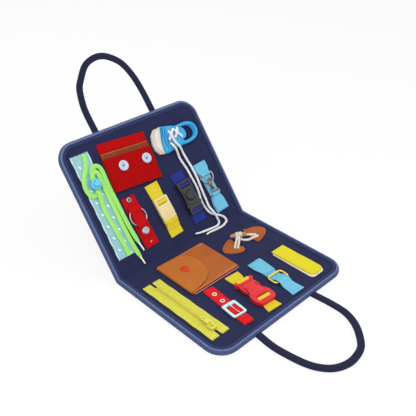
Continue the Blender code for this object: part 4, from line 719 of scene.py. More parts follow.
def book_points(place, points):
    """Points on a cover as points of the whole book, in millimetres."""
    return [place.world(point) / MM for point in points]


def line_length(points):
    return sum((b - a).length for a, b in zip(points, points[1:]))


def cord(name, place, route, section, finish, stands_for=(), across_fold=None, tip=None,
         wide='level'):
    """A free cord, narrowed at its end when it has a tip; one that crosses a fold has its placement baked into its
    mesh.
    """
    sizes = (lambda share: 1 - 0.55 * max(0.0, (share - 0.97) / 0.03)) if tip else None
    lace = sweep(name, place, route, section, finish, wide, False, sizes, stands_for)
    path = [place.world(point) for point in route]
    if across_fold:
        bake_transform(lace)
    line_length(path)


def lace_tip(name, place, route, thick, body):
    """A clear plastic tip pressed on the end of a lace."""
    return sweep(name, place.on(body), route, round_section(thick, 10), AGLET, 'carried',
                 sizes=lambda share: 1.0 if share < 0.85 else 1.0 - 1.6 * (share - 0.85))


def cut_tip(route, length):
    """A route in two: up to its tip, and the tip with a little overlap."""
    keep = len(route) - 1
    while line_length(route[keep:]) < length:
        keep -= 1
    return route[:keep + 1], route[keep - 1:]


BACK_FOLD_SPAN = (BACK.world((0, 4, 0)), BACK.world((0, -4, 0)))
flat_lace = [(w, t * (1.0 + 0.12 * math.cos(w * 5))) for w, t in strap_section(LACE, LACE_THICK)]
upper_route, upper_end = cut_tip(smooth_route(UPPER_LACE, 2.4), 11)
upper_tip = lace_tip("upper_lace_tip", BACK, upper_end, 2.6, "back_cover")
cord("upper_lace", BACK, upper_route, flat_lace, GREEN, ("green_lace_upper",), None, upper_tip)
lower_route, lower_end = cut_tip(smooth_route(LOWER_LACE, 2.4), 8)
lower_tip = lace_tip("lower_lace_tip", BACK, lower_end, 2.6, "spine_back")
cord("lower_lace", BACK.on(None), lower_route, flat_lace, GREEN, ("green_lace_lower",),
     ("back_cover", "spine_back", *BACK_FOLD_SPAN), lower_tip)

round_lace = [(w, t * 0.9) for w, t in round_section(WHITE_LACE, 12)]
CREASE_SPAN = ((CREASE + Vector((0, math.cos(TILT), math.sin(TILT))) * 3) * MM, (CREASE - Vector((0, 3, 0))) * MM)
left_points = book_points(BACK, LEFT_BACK) + book_points(FRONT, LEFT_FRONT)
right_points = book_points(BACK, RIGHT_BACK) + book_points(FRONT, RIGHT_FRONT) + book_points(BACK, RIGHT_END)
for side, points, tip_body in (("left", left_points, "spine_front"), ("right", right_points, "spine_back")):
    whole = smooth_route(points, 1.9)
    past_fold = next(i for i, p in enumerate(whole) if (BACK.matrix.inverted() @ (p * MM)).y < -7.4 * MM)
    body_part, end_part = cut_tip(whole, 11)
    tip = lace_tip(f"{side}_white_tip", BOOK, end_part, 2.9, tip_body)
    cord(f"{side}_white_lace", BOOK, body_part[:past_fold + 1], round_lace, WHITE, (f"lace_{side}",),
         ("back_cover", "spine_back", *BACK_FOLD_SPAN), None, 'carried')
    cord(f"{side}_lace_end", BOOK, body_part[past_fold:], round_lace, WHITE, (),
         ("spine_back", "spine_front", *CREASE_SPAN), tip, 'carried')


# The covers, the folds between them and the binding around all
def cover_outline(inset, start):
    """A cover's outline with its two outer corners rounded."""
    half = HALF - inset
    end = DEPTH - inset
    radius = CORNER - inset
    return [(half, start), *quarter(half - radius, end - radius, radius, 0, 12),
            *quarter(radius - half, end - radius, radius, 90, 12), (-half, start)]


# The binding's section, from its seam over the crest and round the edge: (in from the edge, height)
ROLL = ((9.0, 0.2), (9.0, 0.7), (8.4, 1.0), (7.3, 1.0), (6.4, 0.95), (5.9, 0.3), (5.5, 0.3), (5.0, 1.1),
        (4.0, 1.75), (2.8, 1.8), (1.6, 1.3), (0.7, 0.4),
        (0.1, -0.8), (0, -2.4), (0, -3.8), (0.3, -5.0), (1.0, -5.8), (2.6, -6.1), (6.7, -6.1), (7.5, -5.95),
        (8.5, -6.1), (9.0, -5.7), (8.8, -5.2), (2.6, -5.2), (1.3, -4.4), (0.9, -2.4), (1.3, -0.4), (2.4, 0.2))
# Material slots of the binding: plain denim, the crest's painted highlight and the inner flange's painted shade
MIDDLE, HIGHLIGHT_CREST, SHADED_FLANGE = range(3)


def edging(name, place, rows, finish, stands_for=()):
    """The rolled binding along rows of (point, way in, way up)."""
    points = []
    n = len(ROLL)
    for i, (spot, inward, up) in enumerate(rows):
        pucker = 0.09 * math.sin(i * 2.1) + 0.05 * math.sin(i * 3.7)
        for inset, height in ROLL:
            lift = pucker if height > 0.9 else 0.0
            points.append(spot + inward * inset + up * (height + lift))
    ends = [tuple(range(n)), tuple(range((len(rows) - 1) * n, len(rows) * n))]
    faces = bands(len(rows), n) + ends
    made = piece(name, place, points, faces, finish, stands_for, None, 60)
    # Crest faces take a painted highlight; inner flange and groove faces take painted shade
    made.data.materials.append(DENIM_PAINTED_HIGHLIGHT)
    made.data.materials.append(DENIM_PAINTED_SHADE)
    for number, face in enumerate(made.data.polygons):
        if number < (len(rows) - 1) * n:
            around = number % n
            face.material_index = HIGHLIGHT_CREST if 8 <= around <= 9 else SHADED_FLANGE if around <= 6 else MIDDLE
    return made


def cover(side, place):
    """Lining, outer felt, binding and seams of one cover."""
    lining = plate(f"{side}_lining_cloth", place, cover_outline(1.2, SEAM), -1.5, 0, NAVY_FELT, (), 0,
                   (f"{side}_lining",))
    plate(f"{side}_outer_rim", place, cover_outline(1.2, SEAM), -4.9, -3.9, NAVY_BACK, (), 0)
    outer = plate(f"{side}_outer_felt", place, cover_outline(8.9, SEAM), -6.1, -4.4, NAVY_BACK, (), 0,
                  (f"{side}_outer_cloth",))
    for felt_sheet, inset in ((lining, 1.2), (outer, 8.9)):
        2 * (HALF - inset) * MM
        (DEPTH - inset - SEAM) * MM
        flat_area(cover_outline(inset, SEAM))
    outline = even([(*p, 0) for p in cover_outline(0, SEAM)], 4.5)
    rows = []
    for i, spot in enumerate(outline):
        ahead = way_at(outline, i)
        inward = Vector((-ahead.y, ahead.x, 0)).normalized()
        rows.append((spot, inward, UP))
    edging(f"{side}_rolled_binding", place, rows, DENIM, (f"{side}_binding",))
    seam = [spot + inward * 7.5 + Vector((0, 0, 1.1)) for spot, inward, up in rows]
    stitching(f"{side}_binding_seam", place, seam, DENIM_THREAD, 3.4, 0.5)
    inner = [spot + inward * 11.8 + Vector((0, 0, 0.12)) for spot, inward, up in rows]
    stitching(f"{side}_lining_seam", place, inner, NAVY_THREAD, 4.2, 0.45)


cover("front", FRONT)
cover("back", BACK)


def fold_rows(pivot, before, after, start, end):
    """Rows over one fold: a point on the inner face and the way up from it."""
    half = (0.6, 1.2, 1.9, 2.7, 3.6, 4.6, 6, 7.8, 8)
    rows = []
    for s in (*(-s for s in reversed(half)), 0, *half):
        if not start <= s <= end:
            continue
        along = before if s < 0 else after
        share = min(1.0, max(0.0, (s + 3) / 6))
        lean = before + (after - before) * share * share * (3 - 2 * share)
        spot = pivot + Vector((0, math.cos(along), math.sin(along))) * s
        rows.append((spot, Vector((0, -math.sin(lean), math.cos(lean)))))
    return rows


def fold(name, pivot, before, after, start, end, stands_for=()):
    """Cloth, binding and seams over one fold of the spine."""
    rows = fold_rows(pivot, before, after, start, end)
    half = HALF - 1.2
    columns = [-half + 2 * half * i / 40 for i in range(41)]
    points = []
    for spot, up in rows:
        for x in columns:
            points.append(spot + Vector((x, 0, 0)))
        for x in reversed(columns):
            points.append(spot + Vector((x, 0, 0)) + up * UNDER)
    cloth_piece = piece(f"{name}_cloth", BOOK, points, bands(len(rows), 2 * len(columns)), NAVY_FELT, stands_for)
    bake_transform(cloth_piece)
    for edge_name, way in (("left", 1), ("right", -1)):
        sides = [(spot - Vector((way * HALF, 0, 0)), Vector((way, 0, 0)), up) for spot, up in rows]
        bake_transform(edging(f"{name}_{edge_name}_binding", BOOK, sides, DENIM))
        seam = [spot + inward * 7.5 + up * 1.1 for spot, inward, up in sides]
        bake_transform(stitching(f"{name}_{edge_name}_seam", BOOK, seam, DENIM_THREAD, 3.4, 0.5))


fold("front_fold", FRONT_FOLD, 0, 0, -SEAM, MID_SPINE)
fold("crease_fold", CREASE, 0, TILT, -MID_SPINE, MID_SPINE,
     ("spine_front", "spine_back"))
fold("rear_fold", REAR_FOLD, TILT, TILT, -MID_SPINE, SEAM)

# The handles
FRONT_HANDLE = ((-63, 0), (-65, 28), (-60, 64), (-52, 85), (-38, 100), (-17, 107), (7, 104), (23, 94), (41, 74),
                (51, 51), (52, 26), (50, 0))
BACK_HANDLE = ((-55, 0), (-55.5, 25), (-54, 42), (-48, 64), (-39, 77), (-23, 94), (-7, 101), (9, 102), (24, 96),
               (39, 82), (48, 59), (52, 30), (53, 0))
HANDLE_AXIS = 193.8
HANDLE_HEIGHT = -3.6


def handle(side, place, route):
    """A carrying handle sewn under the binding."""
    axis = place.on(None).at(0, HANDLE_AXIS, 0, HANDLE_HEIGHT)
    start, end = route[0], route[-1]
    points = smooth_route([(start[0] + 0.3, -5, 0.0), *[(a, o, 0) for a, o in route], (end[0] - 0.3, -5, 0.0)], 3.0)
    section = [(w, t * (1 - 0.12 * math.cos(w / 9.5 * math.pi) ** 2))
               for w, t in corner_box(-4.75, 4.75, -2.2, 2.2, 0.9, 3)]
    band = sweep(f"{side}_handle_band", axis, points, section, NAVY_BAND, 'level', stands_for=(f"{side}_handle",))
    axis.world((0, -1.5, 0))
    axis.world((0, 6, 0))
    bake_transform(band)
    seams = place.on(f"{side}_handle").at(0, HANDLE_AXIS, 0, HANDLE_HEIGHT)
    kept = [p for p in points if p.y > 7]
    for number, shift in enumerate((-3.4, 3.4)):
        row = []
        for i, p in enumerate(kept):
            out = way_at(kept, i).cross(UP).normalized()
            row.append(p + out * shift + Vector((0, 0, 2.2)))
        stitching(f"{side}_handle_seam{number}", seams, row, NAVY_THREAD, 3.6, 0.45)


handle("front", FRONT, FRONT_HANDLE)
handle("back", BACK, BACK_HANDLE)

# Shared pieces of the items
YELLOW_THREAD = thread("yellow", "b89c08", "d8c420")
SKY_THREAD = thread("sky", "3c96c0", "5cb4d8")
RED_THREAD = thread("red", "8c0408", "b81418")
TAN_THREAD = thread("tan", "e0b078", "f0cc98")
NAVY_WEB_THREAD = thread("blue", "0e1a5c", "1c2c7c")
LIME_THREAD = thread("lime", "a8a028", "c4bc40")
RED_SHELL = plastic("red_clip_plastic", "cc1220", 0.3, "e42434", gloss=0.4)
CREAM_SHELL = plastic("cream_buckle_plastic", "dcc888", 0.42, "e8d8a0")
BLACK_SHELL = plastic("black_buckle_plastic", "191919", 0.42, "272727", gloss=0.4)
SKY_SHELL = plastic("blue_lock_plastic", "4cbce8", 0.3, "6cd0f2")
PALE_SHELL = plastic("pale_button_plastic", "b2c2dc", 0.38, "c8d4e8", gloss=0.35)
ORANGE_SHELL = plastic("orange_snap_plastic", "c43200", 0.35, "dc4408", gloss=0.2)
LIME_SHELL = plastic("lime_zip_plastic", "d2ca44", 0.4, "e4dc60")
ENAMEL = plastic("pale_enamel", "b4e6ec", 0.3, "d4f2f4")
STEEL = metal("plated_steel", "b4b4b8", "747478", 0.3)
BRONZE = metal("worn_bronze", "a88270", "64483e", 0.34)
GOLD = metal("brushed_gold", "f6d66c", "dcb044", 0.3)
WHITE_RUBBER = plastic("toe_rubber", "d0ccc0", 0.6, "e0dcd2", 0.08)
BLUE_FOAM = canvas("shoe_blue_cloth", "2c9cdc", "56c2f2", 0.9, 0.2)
BLUE_RIM = canvas("shoe_rim_cloth", "1c98dc", "4cbcf0", 0.7, 0.15)
BLUE_SEAM = thread("shoe_seam", "0c5cae", "1874c4")
# Dark discs set in holes are painted shade inside the openings
HOLE_SHADE = felt("painted_shade_in_hole", "080914", "141628", 0.05)
SNOW = plastic("white_eyelet", "dcdcdc", 0.4, "ececec")
GREY_THREAD = thread("grey", "5c6470", "808894")
CREAM_FUZZ = felt("cream_hook_strip", "e0d4ac", "f6f0dc", 0.2)
YELLOW_PILE = felt("yellow_loop_pile", "d8c80c", "ece028", 0.4)
WOOD = leather("brown_peg_horn", "8c6440", "c8a478", 0.5)
DEEP_RED = felt("wallet_lining_felt", "6c0608", "940e10", 0.1)
PINK_EDGE = felt("wallet_pink_edge", "b08078", "d8a8a0", 0.1)
# A darker hide along the flap's edge is a painted shadow
FLAP_EDGE_SHADOW = leather("flap_edge_painted_shadow", "8c4a1c", "a45c26")


def inset_line(outline, distance, height):
    """A closed line inside an outline, as stitching follows it."""
    turn = sum(a[0] * b[1] - b[0] * a[1] for a, b in zip(outline, outline[1:] + outline[:1]))
    sign = 1 if turn > 0 else -1
    made = []
    for i, spot in enumerate(outline):
        before, after = Vector(outline[i - 1]), Vector(outline[(i + 1) % len(outline)])
        ahead = (after - before).normalized()
        made.append(Vector((spot[0] - ahead.y * distance * sign, spot[1] + ahead.x * distance * sign, height)))
    return made + made[:1]


def strap(name, place, width, length, finish, thread, stands_for, flare, pinch):
    """Flat webbing sewn down at both ends, drawn in where its buckle holds it."""
    def half(y):
        draw = 1.0 if pinch[0] < y < pinch[1] else max(0.0, 1 - min(abs(y - pinch[0]), abs(y - pinch[1])) / 16)
        return width / 2 - flare * draw * draw * (3 - 2 * draw)
    count = max(8, round(length / 2.6))
    rows = []
    for i in range(count + 1):
        y = length * i / count
        lift = 0.1 * math.sin(y * 0.35)
        ease = min(1.0, y / 5, (length - y) / 5)
        rows.append([(half(y) * u, y, 1.0 + lift * ease + 0.05 * math.cos(u * 9))
                     for u in ACROSS])
    made = cloth(name, place, rows, 1.35, finish, stands_for)
    for number, y in enumerate((0.0, length)):
        way = 1 if number == 0 else -1
        inset, hem, top = 1.4, 7.0, 1.72
        edge = half(y) - inset
        near, far = y + way * inset, y + way * hem
        corners = [(-edge, near, top), (edge, near, top), (edge, far, top), (-edge, far, top), (-edge, near, top)]
        stitching(f"{name}_sewn{number}", place, corners, thread, 2.2, 0.4)
    return made


def web_ramp(name, place, foot, top, back, half, finish):
    """Webbing that climbs from the strap, over a buckle's bar and down behind it; points are (outward, height)."""
    middle = (foot[0] + top[0]) / 2
    rise = top[1] - foot[1]
    route = [(0, foot[0] - 0.8, foot[1] - 0.2), (0, foot[0], foot[1]), (0, middle, foot[1] + rise * 0.42),
             (0, top[0] - 1.6, top[1] - 0.35), (0, top[0], top[1]), (0, back[0] - 1.1, top[1]),
             (0, back[0] - 0.3, top[1] - 0.5), (0, back[0], top[1] - 1.4), (0, back[0], back[1])]
    return sweep(name, place, smooth_route(route, 0.8), strap_section(2 * half, 1.3), finish, (1, 0, 0), smooth=60)


def web_in_slot(name, place, slot, half, top, finish):
    """Webbing seen in a buckle's slot: up from under the bar and round the hidden inner edge."""
    start, end = slot
    rows = []
    for share, height in ((0.02, 2.1), (0.06, top - 2.0), (0.2, top - 1.1), (0.45, top - 0.8), (0.7, top - 1.0),
                          (0.84, top - 1.9), (0.9, 2.4)):
        rows.append([(half * u, start + (end - start) * share, height + 0.08 * math.cos(u * 9)) for u in
                     (-1, -0.7, -0.35, 0, 0.35, 0.7, 1)])
    return cloth(name, place, rows, 1.1, finish, (), 60)


PUFF_SCALE = 10
PUFF_FRAMES = 20
SEAM_REACH = 2.0
SEAM_SINK = 0.075
SEAM_HELD = 0.6


def puff_up(mesh, held, most):
    """Puff a closed form with a short cloth simulation: held vertices stay, no other moves more than most."""
    form = linked("swelling", mesh.copy())
    form.data.transform(Matrix.Scale(PUFF_SCALE, 4))
    form.vertex_groups.new(name="held").add(held, 1.0, 'REPLACE')
    puff = form.modifiers.new("puff", 'CLOTH')
    for setting, value in (("quality", 4), ("mass", 0.3), ("tension_stiffness", 12), ("compression_stiffness", 12),
                           ("bending_stiffness", 0.4), ("use_pressure", True), ("uniform_pressure_force", 4),
                           ("vertex_group_mass", "held")):
        setattr(puff.settings, setting, value)
    puff.settings.effector_weights.gravity = 0
    puff.point_cache.frame_end = PUFF_FRAMES
    for frame in range(1, PUFF_FRAMES + 1):
        scene.frame_set(frame)
    swollen = evaluated(form)
    scene.frame_set(1)
    for spot, moved in zip(mesh.vertices, swollen.vertices):
        shift = moved.co / PUFF_SCALE - spot.co
        spot.co += shift * min(1.0, most * MM / max(1e-9, shift.length))


def pillow(name, place, outline, holes, low, top, reach, finish, stands_for=(), cell=1.0, rim=0.35, sewn=(),
           puffed=0.0):
    """A stuffed form: an outline whose top rises in a round crown, sinks along its sewn lines, then is puffed."""
    rings = (outline, *holes)
    shape = linked(name, raised(name, place, rings, low, top))
    fine = shape.modifiers.new("cells", 'REMESH')
    fine.mode = 'VOXEL'
    fine.voxel_size = cell * MM
    shape.modifiers.new("relax", 'SMOOTH').iterations = 3
    mesh = evaluated(shape)

    def on_plan(point):
        return Vector(place.local((point[0], point[1], 0)).xy) / MM

    def walls_of(lines, closed):
        return [(on_plan(a), on_plan(b)) for line in map(list, lines)
                for a, b in zip(line, line[1:] + line[:closed])]

    def nearest(here, walls):
        near = 1e9
        for a, b in walls:
            t = max(0.0, min(1.0, (here - a).dot(b - a) / max(1e-9, (b - a).length_squared)))
            near = min(near, (a.lerp(b, t) - here).length)
        return near

    walls = walls_of(rings, 1)
    seams = walls_of(sewn, 0)
    held = []
    for spot in mesh.vertices:
        height = spot.co.z / MM
        if height < (top + low) / 2:
            spot.co.z = (low + (height - low) * 0.4) * MM if height > low else low * MM
            held.append(spot.index)
            continue
        here = Vector(spot.co.xy) / MM
        share = min(1.0, nearest(here, walls) / reach)
        rise = rim + (1 - rim) * math.sqrt(max(0.0, 1 - (1 - share) ** 2))
        if seams:
            sunk = nearest(here, seams)
            if sunk < SEAM_REACH:
                rise -= SEAM_SINK * (1 - sunk / SEAM_REACH) ** 2
            if sunk < SEAM_HELD:
                held.append(spot.index)
        rise -= puffed / (top - low)
        spot.co.z = (low + (top - low) * rise * min(1.0, (height - low) / (top - low) + 0.02)) * MM
    if puffed:
        puff_up(mesh, held, puffed)
    return put(name, place, mesh, finish, stands_for, 80)


def blocks(name, place, spots, size, finish):
    """Many small tapered blocks as one piece: zip teeth, hooks and ribs."""
    points = []
    faces = []
    for across, outward, height in spots:
        first = len(points)
        for lift, share in ((0, 1.0), (0.7, 1.0), (1.0, 0.6)):
            for u, v in ((-1, -1), (1, -1), (1, 1), (-1, 1)):
                points.append((across + u * share * size[0] / 2, outward + v * share * size[1] / 2,
                               height + lift * size[2]))
        faces += [(first, first + 3, first + 2, first + 1), (first + 8, first + 9, first + 10, first + 11)]
        faces += bands(3, 4, first)
    return piece(name, place, points, faces, finish)


# Zip
zip_place = FRONT.at(-100, 22)
for side, way in SIDES:
    near_edge = [(way * (2.0 + 13.5 * i / 8), 0.0 if i % 2 else 2.0) for i in range(9)]
    far_edge = [(way * (2.3 + 13.2 * i / 8), 140.0 if i % 2 else 137.6) for i in range(9)]
    outer = [(way * (15.3 + 0.3 * math.sin(y * 0.21 + way)), y) for y in range(8, 134, 6)]
    inner = [(way * x, y) for x, y in ((2.2, 129.6), (0.75, 127.5), (0.75, 14.6), (1.8, 13.2))]
    plate(f"zip_tape_{side}", zip_place, near_edge + outer + far_edge[::-1] + inner, 0.35, 1.15, LIME, (), 0.2,
          ("zip_tape",) if way < 0 else ())
    for number, x in enumerate((3.4, 7.2, 11.0)):
        lane = [(way * x, y, 1.15) for y in range(5 if x > 4 else 14, 136 if x > 4 else 129, 6)]
        sweep(f"zip_rib_{side}{number}", zip_place, lane, round_section(1.0 if x < 4 else 0.7, 8), LIME)
    lane = [(way * 5.2, y, 1.2) for y in (12, 128)]
    stitching(f"zip_seam_{side}", zip_place, lane, LIME_THREAD, 2.6, 0.35)
teeth = [((0.95 if i % 2 else -0.95), 15.6 + 1.42 * i, 1.1) for i in range(77)]
blocks("zip_teeth", zip_place, teeth, (2.9, 1.0, 2.0), LIME_SHELL)
blocks("zip_stops", zip_place, ((-2.2, 14.6, 0.9), (2.2, 14.6, 0.9), (0, 126.2, 0.9)), (2.6, 2.2, 2.0), LIME_SHELL)
slider = FRONT.at(-100, 144, 0, 0, "zip_slider")
roof = smooth_outline(((-4.9, -5.6), (0, -6), (4.9, -5.6), (4.8, 0), (3.6, 5.2), (0, 6), (-3.6, 5.2), (-4.8, 0)), 4)
plate("slider_roof", slider, roof, 3.75, 5.2, LIME_SHELL, (), 0.5, ("zip_slider",))
for side, way in SIDES:
    wall = [(way * 4.3, -5.0, 2.7), (way * 4.4, -1.0, 2.7), (way * 3.95, 3.4, 2.7)]
    sweep(f"slider_wall_{side}", slider, wall, [(w, t * 2.2) for w, t in round_section(1.2, 10)], LIME_SHELL)
bridge = smooth_route(((0, -2.7, 4.8), (0, -2.8, 6.6), (0, -1.9, 7.9), (0, 0, 8.1), (0, 1.9, 7.9), (0, 2.8, 6.6),
                       (0, 2.7, 4.8)), 0.6)
sweep("slider_bridge", slider, bridge, strap_section(2.2, 0.9), LIME_SHELL, (1, 0, 0))
pull = FRONT.at(-100, 144, 0, 6.7, "zip_pull")
pull_outline = corner_box(-3.4, 3.4, -18.9, 0.9, 3.0, 8)
pull_eye = corner_box(-1.7, 1.7, -5.0, -0.75, 0.5, 3)
plate("zip_pull_tab", pull, pull_outline, -0.7, 0.7, LIME_SHELL, (pull_eye, ring(0, -14.6, 1.7)), 0.45, ("zip_pull",))
sweep("zip_pull_rim", pull, [(*p, 0.6) for p in corner_box(-2.3, 2.3, -12.0, -6.6, 1.0, 4)],
      round_section(0.5, 8), LIME_SHELL, 'level', True)

# Wallet
wallet = FRONT.at(-72, 4)
fold_line = [(87.4 + 1.0 * math.sin(math.pi * i / 8), 1.9 - 1.0 * math.cos(math.pi * i / 8)) for i in range(9)]
wallet_line = [(0.3, 0.9), (20, 0.9), (45, 0.9), (70, 0.9), *fold_line, (80, 2.95), (66, 3.0), (50, 3.0), (34, 3.0),
               (18, 2.95), (0.3, 2.9)]
hide = cloth("wallet_hide", wallet, [[(x, y, h) for y in (0.2, 1.5, 20, 38, 56, 74.5, 75.8)] for x, h in wallet_line],
             1.15, TAN, ("wallet_pocket",))
lining = plate("wallet_lining", wallet, corner_box(3, 88.6, 30, 78.0, 1.0, 2), 1.6, 2.5, DEEP_RED, (), 0.2)
plate("wallet_lining_edge", wallet, corner_box(2, 88.2, 70, 79.0, 0.6, 2), 0.7, 1.5, PINK_EDGE, (), 0.2)
for number, (y, h) in enumerate(((0.25, 2.95), (75.9, 2.95), (75.9, 0.9))):
    lane = [(x, y, h) for x in (0.5, 20, 40, 60, 86.5)]
    sweep(f"wallet_cut_edge{number}", wallet, lane, strap_section(0.7, 1.25), TAN_EDGE)
stitching("wallet_seam_outer", wallet, [(52, 73.2, 3.58), (85.5, 73.2, 3.58)], TAN_THREAD, 2.6, 0.4)
stitching("wallet_seam_inner", wallet, [(40, 2.6, 3.58), (85.5, 2.6, 3.58)], TAN_THREAD, 2.6, 0.4)
FLAP_NEAR = ((0, 0.0), (0.4, 0.01), (0.76, 0.03), (0.93, 0.12), (0.99, 0.26), (1.0, 0.45))
FLAP_FAR = ((0, 1.0), (0.4, 0.95), (0.66, 0.88), (0.86, 0.76), (0.96, 0.62), (1.0, 0.47))


def read_line(line, where):
    """The value of a line of (position, value) points."""
    for (a, low), (b, high) in zip(line, line[1:]):
        if where <= b:
            return low + (high - low) * (where - a) / (b - a)
    return line[-1][1]


flap_rows = [[(x, 0.3 + 75.4 * v / 14, h) for v in range(15)]
             for x, h in ((-0.7, 0.9), (-1.5, 1.3), (-1.75, 2.2), (-1.6, 3.2), (-0.9, 4.1), (0.4, 4.45))]
for i in range(1, 21):
    share = math.sin(math.pi / 2 * i / 20) ** 0.9
    near = read_line(FLAP_NEAR, share) * 76 + 0.3
    far = read_line(FLAP_FAR, share) * 76 - 0.3
    row = []
    for v in range(15):
        y = near + (far - near) * v / 14
        swell = 0.28 * math.sin(math.pi * share) * math.sin(math.pi * v / 14)
        row.append((54 * share - 0.5, y, 4.42 + swell))
    flap_rows.append(row)
flap = cloth("wallet_flap_hide", wallet.on(None), flap_rows, 1.15, FLAP_TAN, ("wallet_flap",))
wallet.world((-1.4, 38, 3))
wallet.world((6, 38, 4.4))
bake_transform(flap)
flap_body = wallet.on("wallet_flap")
rim = [(54 * s - 0.6, read_line(FLAP_NEAR, s) * 76 + 0.3, 4.45) for s in (0.2, 0.4, 0.6, 0.76, 0.85, 0.93, 0.99)]
rim += [(53.4, 34.8, 4.45)]
rim += [(54 * s - 0.6, read_line(FLAP_FAR, s) * 76 - 0.3, 4.45) for s in (0.96, 0.86, 0.76, 0.66, 0.5, 0.35, 0.2)]
# A darker strip along the flap's rim is a painted shadow at its edge
sweep("flap_edge_painted_shadow", flap_body, smooth_route(rim, 2.0), strap_section(0.7, 1.2), FLAP_EDGE_SHADOW)
turned("wallet_snap_cap", flap_body, 24.5, 32, ((0, 8.25), (2.2, 8.2), (4.0, 7.8), (5.4, 7.0), (6.3, 6.0), (6.5, 5.4),
       (6.3, 5.05), (0, 5.05)), ORANGE_SHELL, 32, ("wallet_snap",))
turned("wallet_snap_ring", flap_body, 24.5, 32, ((3.0, 8.15), (3.3, 8.32), (3.6, 8.05), (3.3, 7.9)), ORANGE_SHELL)

# Toggle
PATCH_THREAD = thread("dark_patch", "7a3610", "94481c")
LEFT_PATCH = ((0.99, 0.0), (0.68, 0.03), (0.2, 0.22), (0.03, 0.39), (0.0, 0.58), (0.27, 0.83), (0.6, 0.98),
              (0.86, 1.0), (1.0, 0.84), (0.945, 0.63), (0.96, 0.33))
RIGHT_PATCH = ((0.18, 0.0), (0.34, 0.04), (0.59, 0.1), (0.82, 0.2), (0.98, 0.4), (1.0, 0.57), (0.86, 0.74),
               (0.52, 0.9), (0.12, 1.0), (0.04, 0.98), (0.01, 0.84), (0.02, 0.68))
for side, shares, at, size in (("left", LEFT_PATCH, (25, 27), (30, 34.5)),
                               ("right", RIGHT_PATCH, (81, 24.5), (34, 36.5))):
    outline = smooth_outline(scaled(shares, at, size), 5)
    plate(f"toggle_{side}_patch", FRONT, outline, 0.35, 2.2, RUST, (), 0.6, (f"toggle_patch_{side}",))
    stitching(f"toggle_{side}_seam", FRONT, inset_line(outline, 3.2, 2.25), PATCH_THREAD, 2.8, 0.6)
rope_section = []
for i, (w, t) in enumerate(round_section(4.5, 18)):
    bulge = 0.86 + 0.14 * math.cos(3 * i * math.pi / 9)
    rope_section.append((w * bulge, t * bulge))
ROPE_LOOP = ((91.5, 46.6, 2.8), (87.4, 45.6, 3.7), (84.2, 41.6, 3.6), (80, 36.4, 2.4), (75.0, 33.6, 2.05),
             (69.6, 34.2, 2.05), (66.6, 38, 2.05), (68.4, 43, 2.05), (74.2, 47.6, 2.1), (82.6, 50.4, 3.5),
             (87.5, 51.4, 3.8), (91.5, 51.2, 2.8))
sweep("toggle_rope_loop", FRONT, smooth_route(ROPE_LOOP, 0.9), rope_section, ROPE, 'carried', spin=0.5)
for number, shift in enumerate((-1.7, 1.7)):
    peg_cord = [(x + shift * wide, y + shift * far, height) for x, wide, y, far, height in
                ((44, 1, 50.5, 0.9, 2.4), (48, 1, 47.5, 0.9, 3.6), (52, 1, 44.5, 0.9, 4.3), (57, 1, 41, 0.8, 5.0),
                 (61.5, 0.7, 37, 0.6, 6.4), (65.5, 0.5, 33.2, 0.4, 7.2))]
    strand = sweep(f"toggle_peg_cord{number}", FRONT.on(None), smooth_route(peg_cord, 0.9),
                   [(w * 0.86, t * 0.86) for w, t in rope_section], ROPE, 'carried', spin=0.5)
    FRONT.world((49, 44, 4))
    FRONT.world((55, 42, 4))
    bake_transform(strand)
PEG_COS, PEG_SIN = math.cos(math.radians(65)), math.sin(math.radians(65))


def on_peg(along, side=0.0, height=0.0):
    """A point near the peg: along its length, beside it and above its middle."""
    return (66 - along * PEG_SIN + side * PEG_COS, 33 - along * PEG_COS - side * PEG_SIN, 7.5 + height)


peg_body = FRONT.on("toggle_peg")
peg_half = ((0, 2.3), (1.6, 2.4), (3.4, 2.8), (6, 3.1), (9, 3.0), (11.4, 2.6), (12.6, 2.0), (13, 1.2))
profile = [(-along, radius) for along, radius in peg_half[:0:-1]] + list(peg_half)
sweep("toggle_peg_horn", peg_body, [on_peg(along) for along, radius in profile], round_section(2.0, 20), WOOD,
      'carried', False, lambda share: profile[round(share * (len(profile) - 1))][1], ("toggle_peg",))
coil = []
for i in range(97):
    turn = 2 * math.pi * i / 24
    along = -5.2 + 10.4 * i / 96
    coil.append(on_peg(along, 3.5 * math.cos(turn), 3.5 * math.sin(turn)))
sweep("toggle_peg_whipping", peg_body, coil, round_section(2.5, 10), ROPE, 'carried')

# Red belt
belt = FRONT.at(-51, 86, -5)
belt_holes = [ring(0, y, 1.95, 20) for y in (15, 32, 52)]
plate("belt_felt", belt, corner_box(-8.9, 8.9, 0, 62, 2.6, 5), 0.35, 1.75, RED_WEB, belt_holes, 0.35,
      ("belt_strap",))
stitching("belt_seam", belt, inset_line(corner_box(-8.9, 8.9, 0, 44, 2.6, 5), 1.5, 1.78), RED_THREAD, 2.6, 0.4)
for number, y in enumerate((15, 32)):
    turned(f"belt_eyelet{number}", belt, 0, y,
           ((1.75, 1.2), (1.85, 2.15), (2.3, 2.45), (3.0, 2.3), (3.4, 1.8), (3.3, 1.5)), SNOW, 28)
    # A dark disc in each eyelet is painted shade in the hole
    turned(f"belt_eyelet_hole_shade{number}", belt, 0, y, ((0, 1.3), (1.8, 1.3), (1.8, 0.9), (0, 0.9)), HOLE_SHADE, 20)
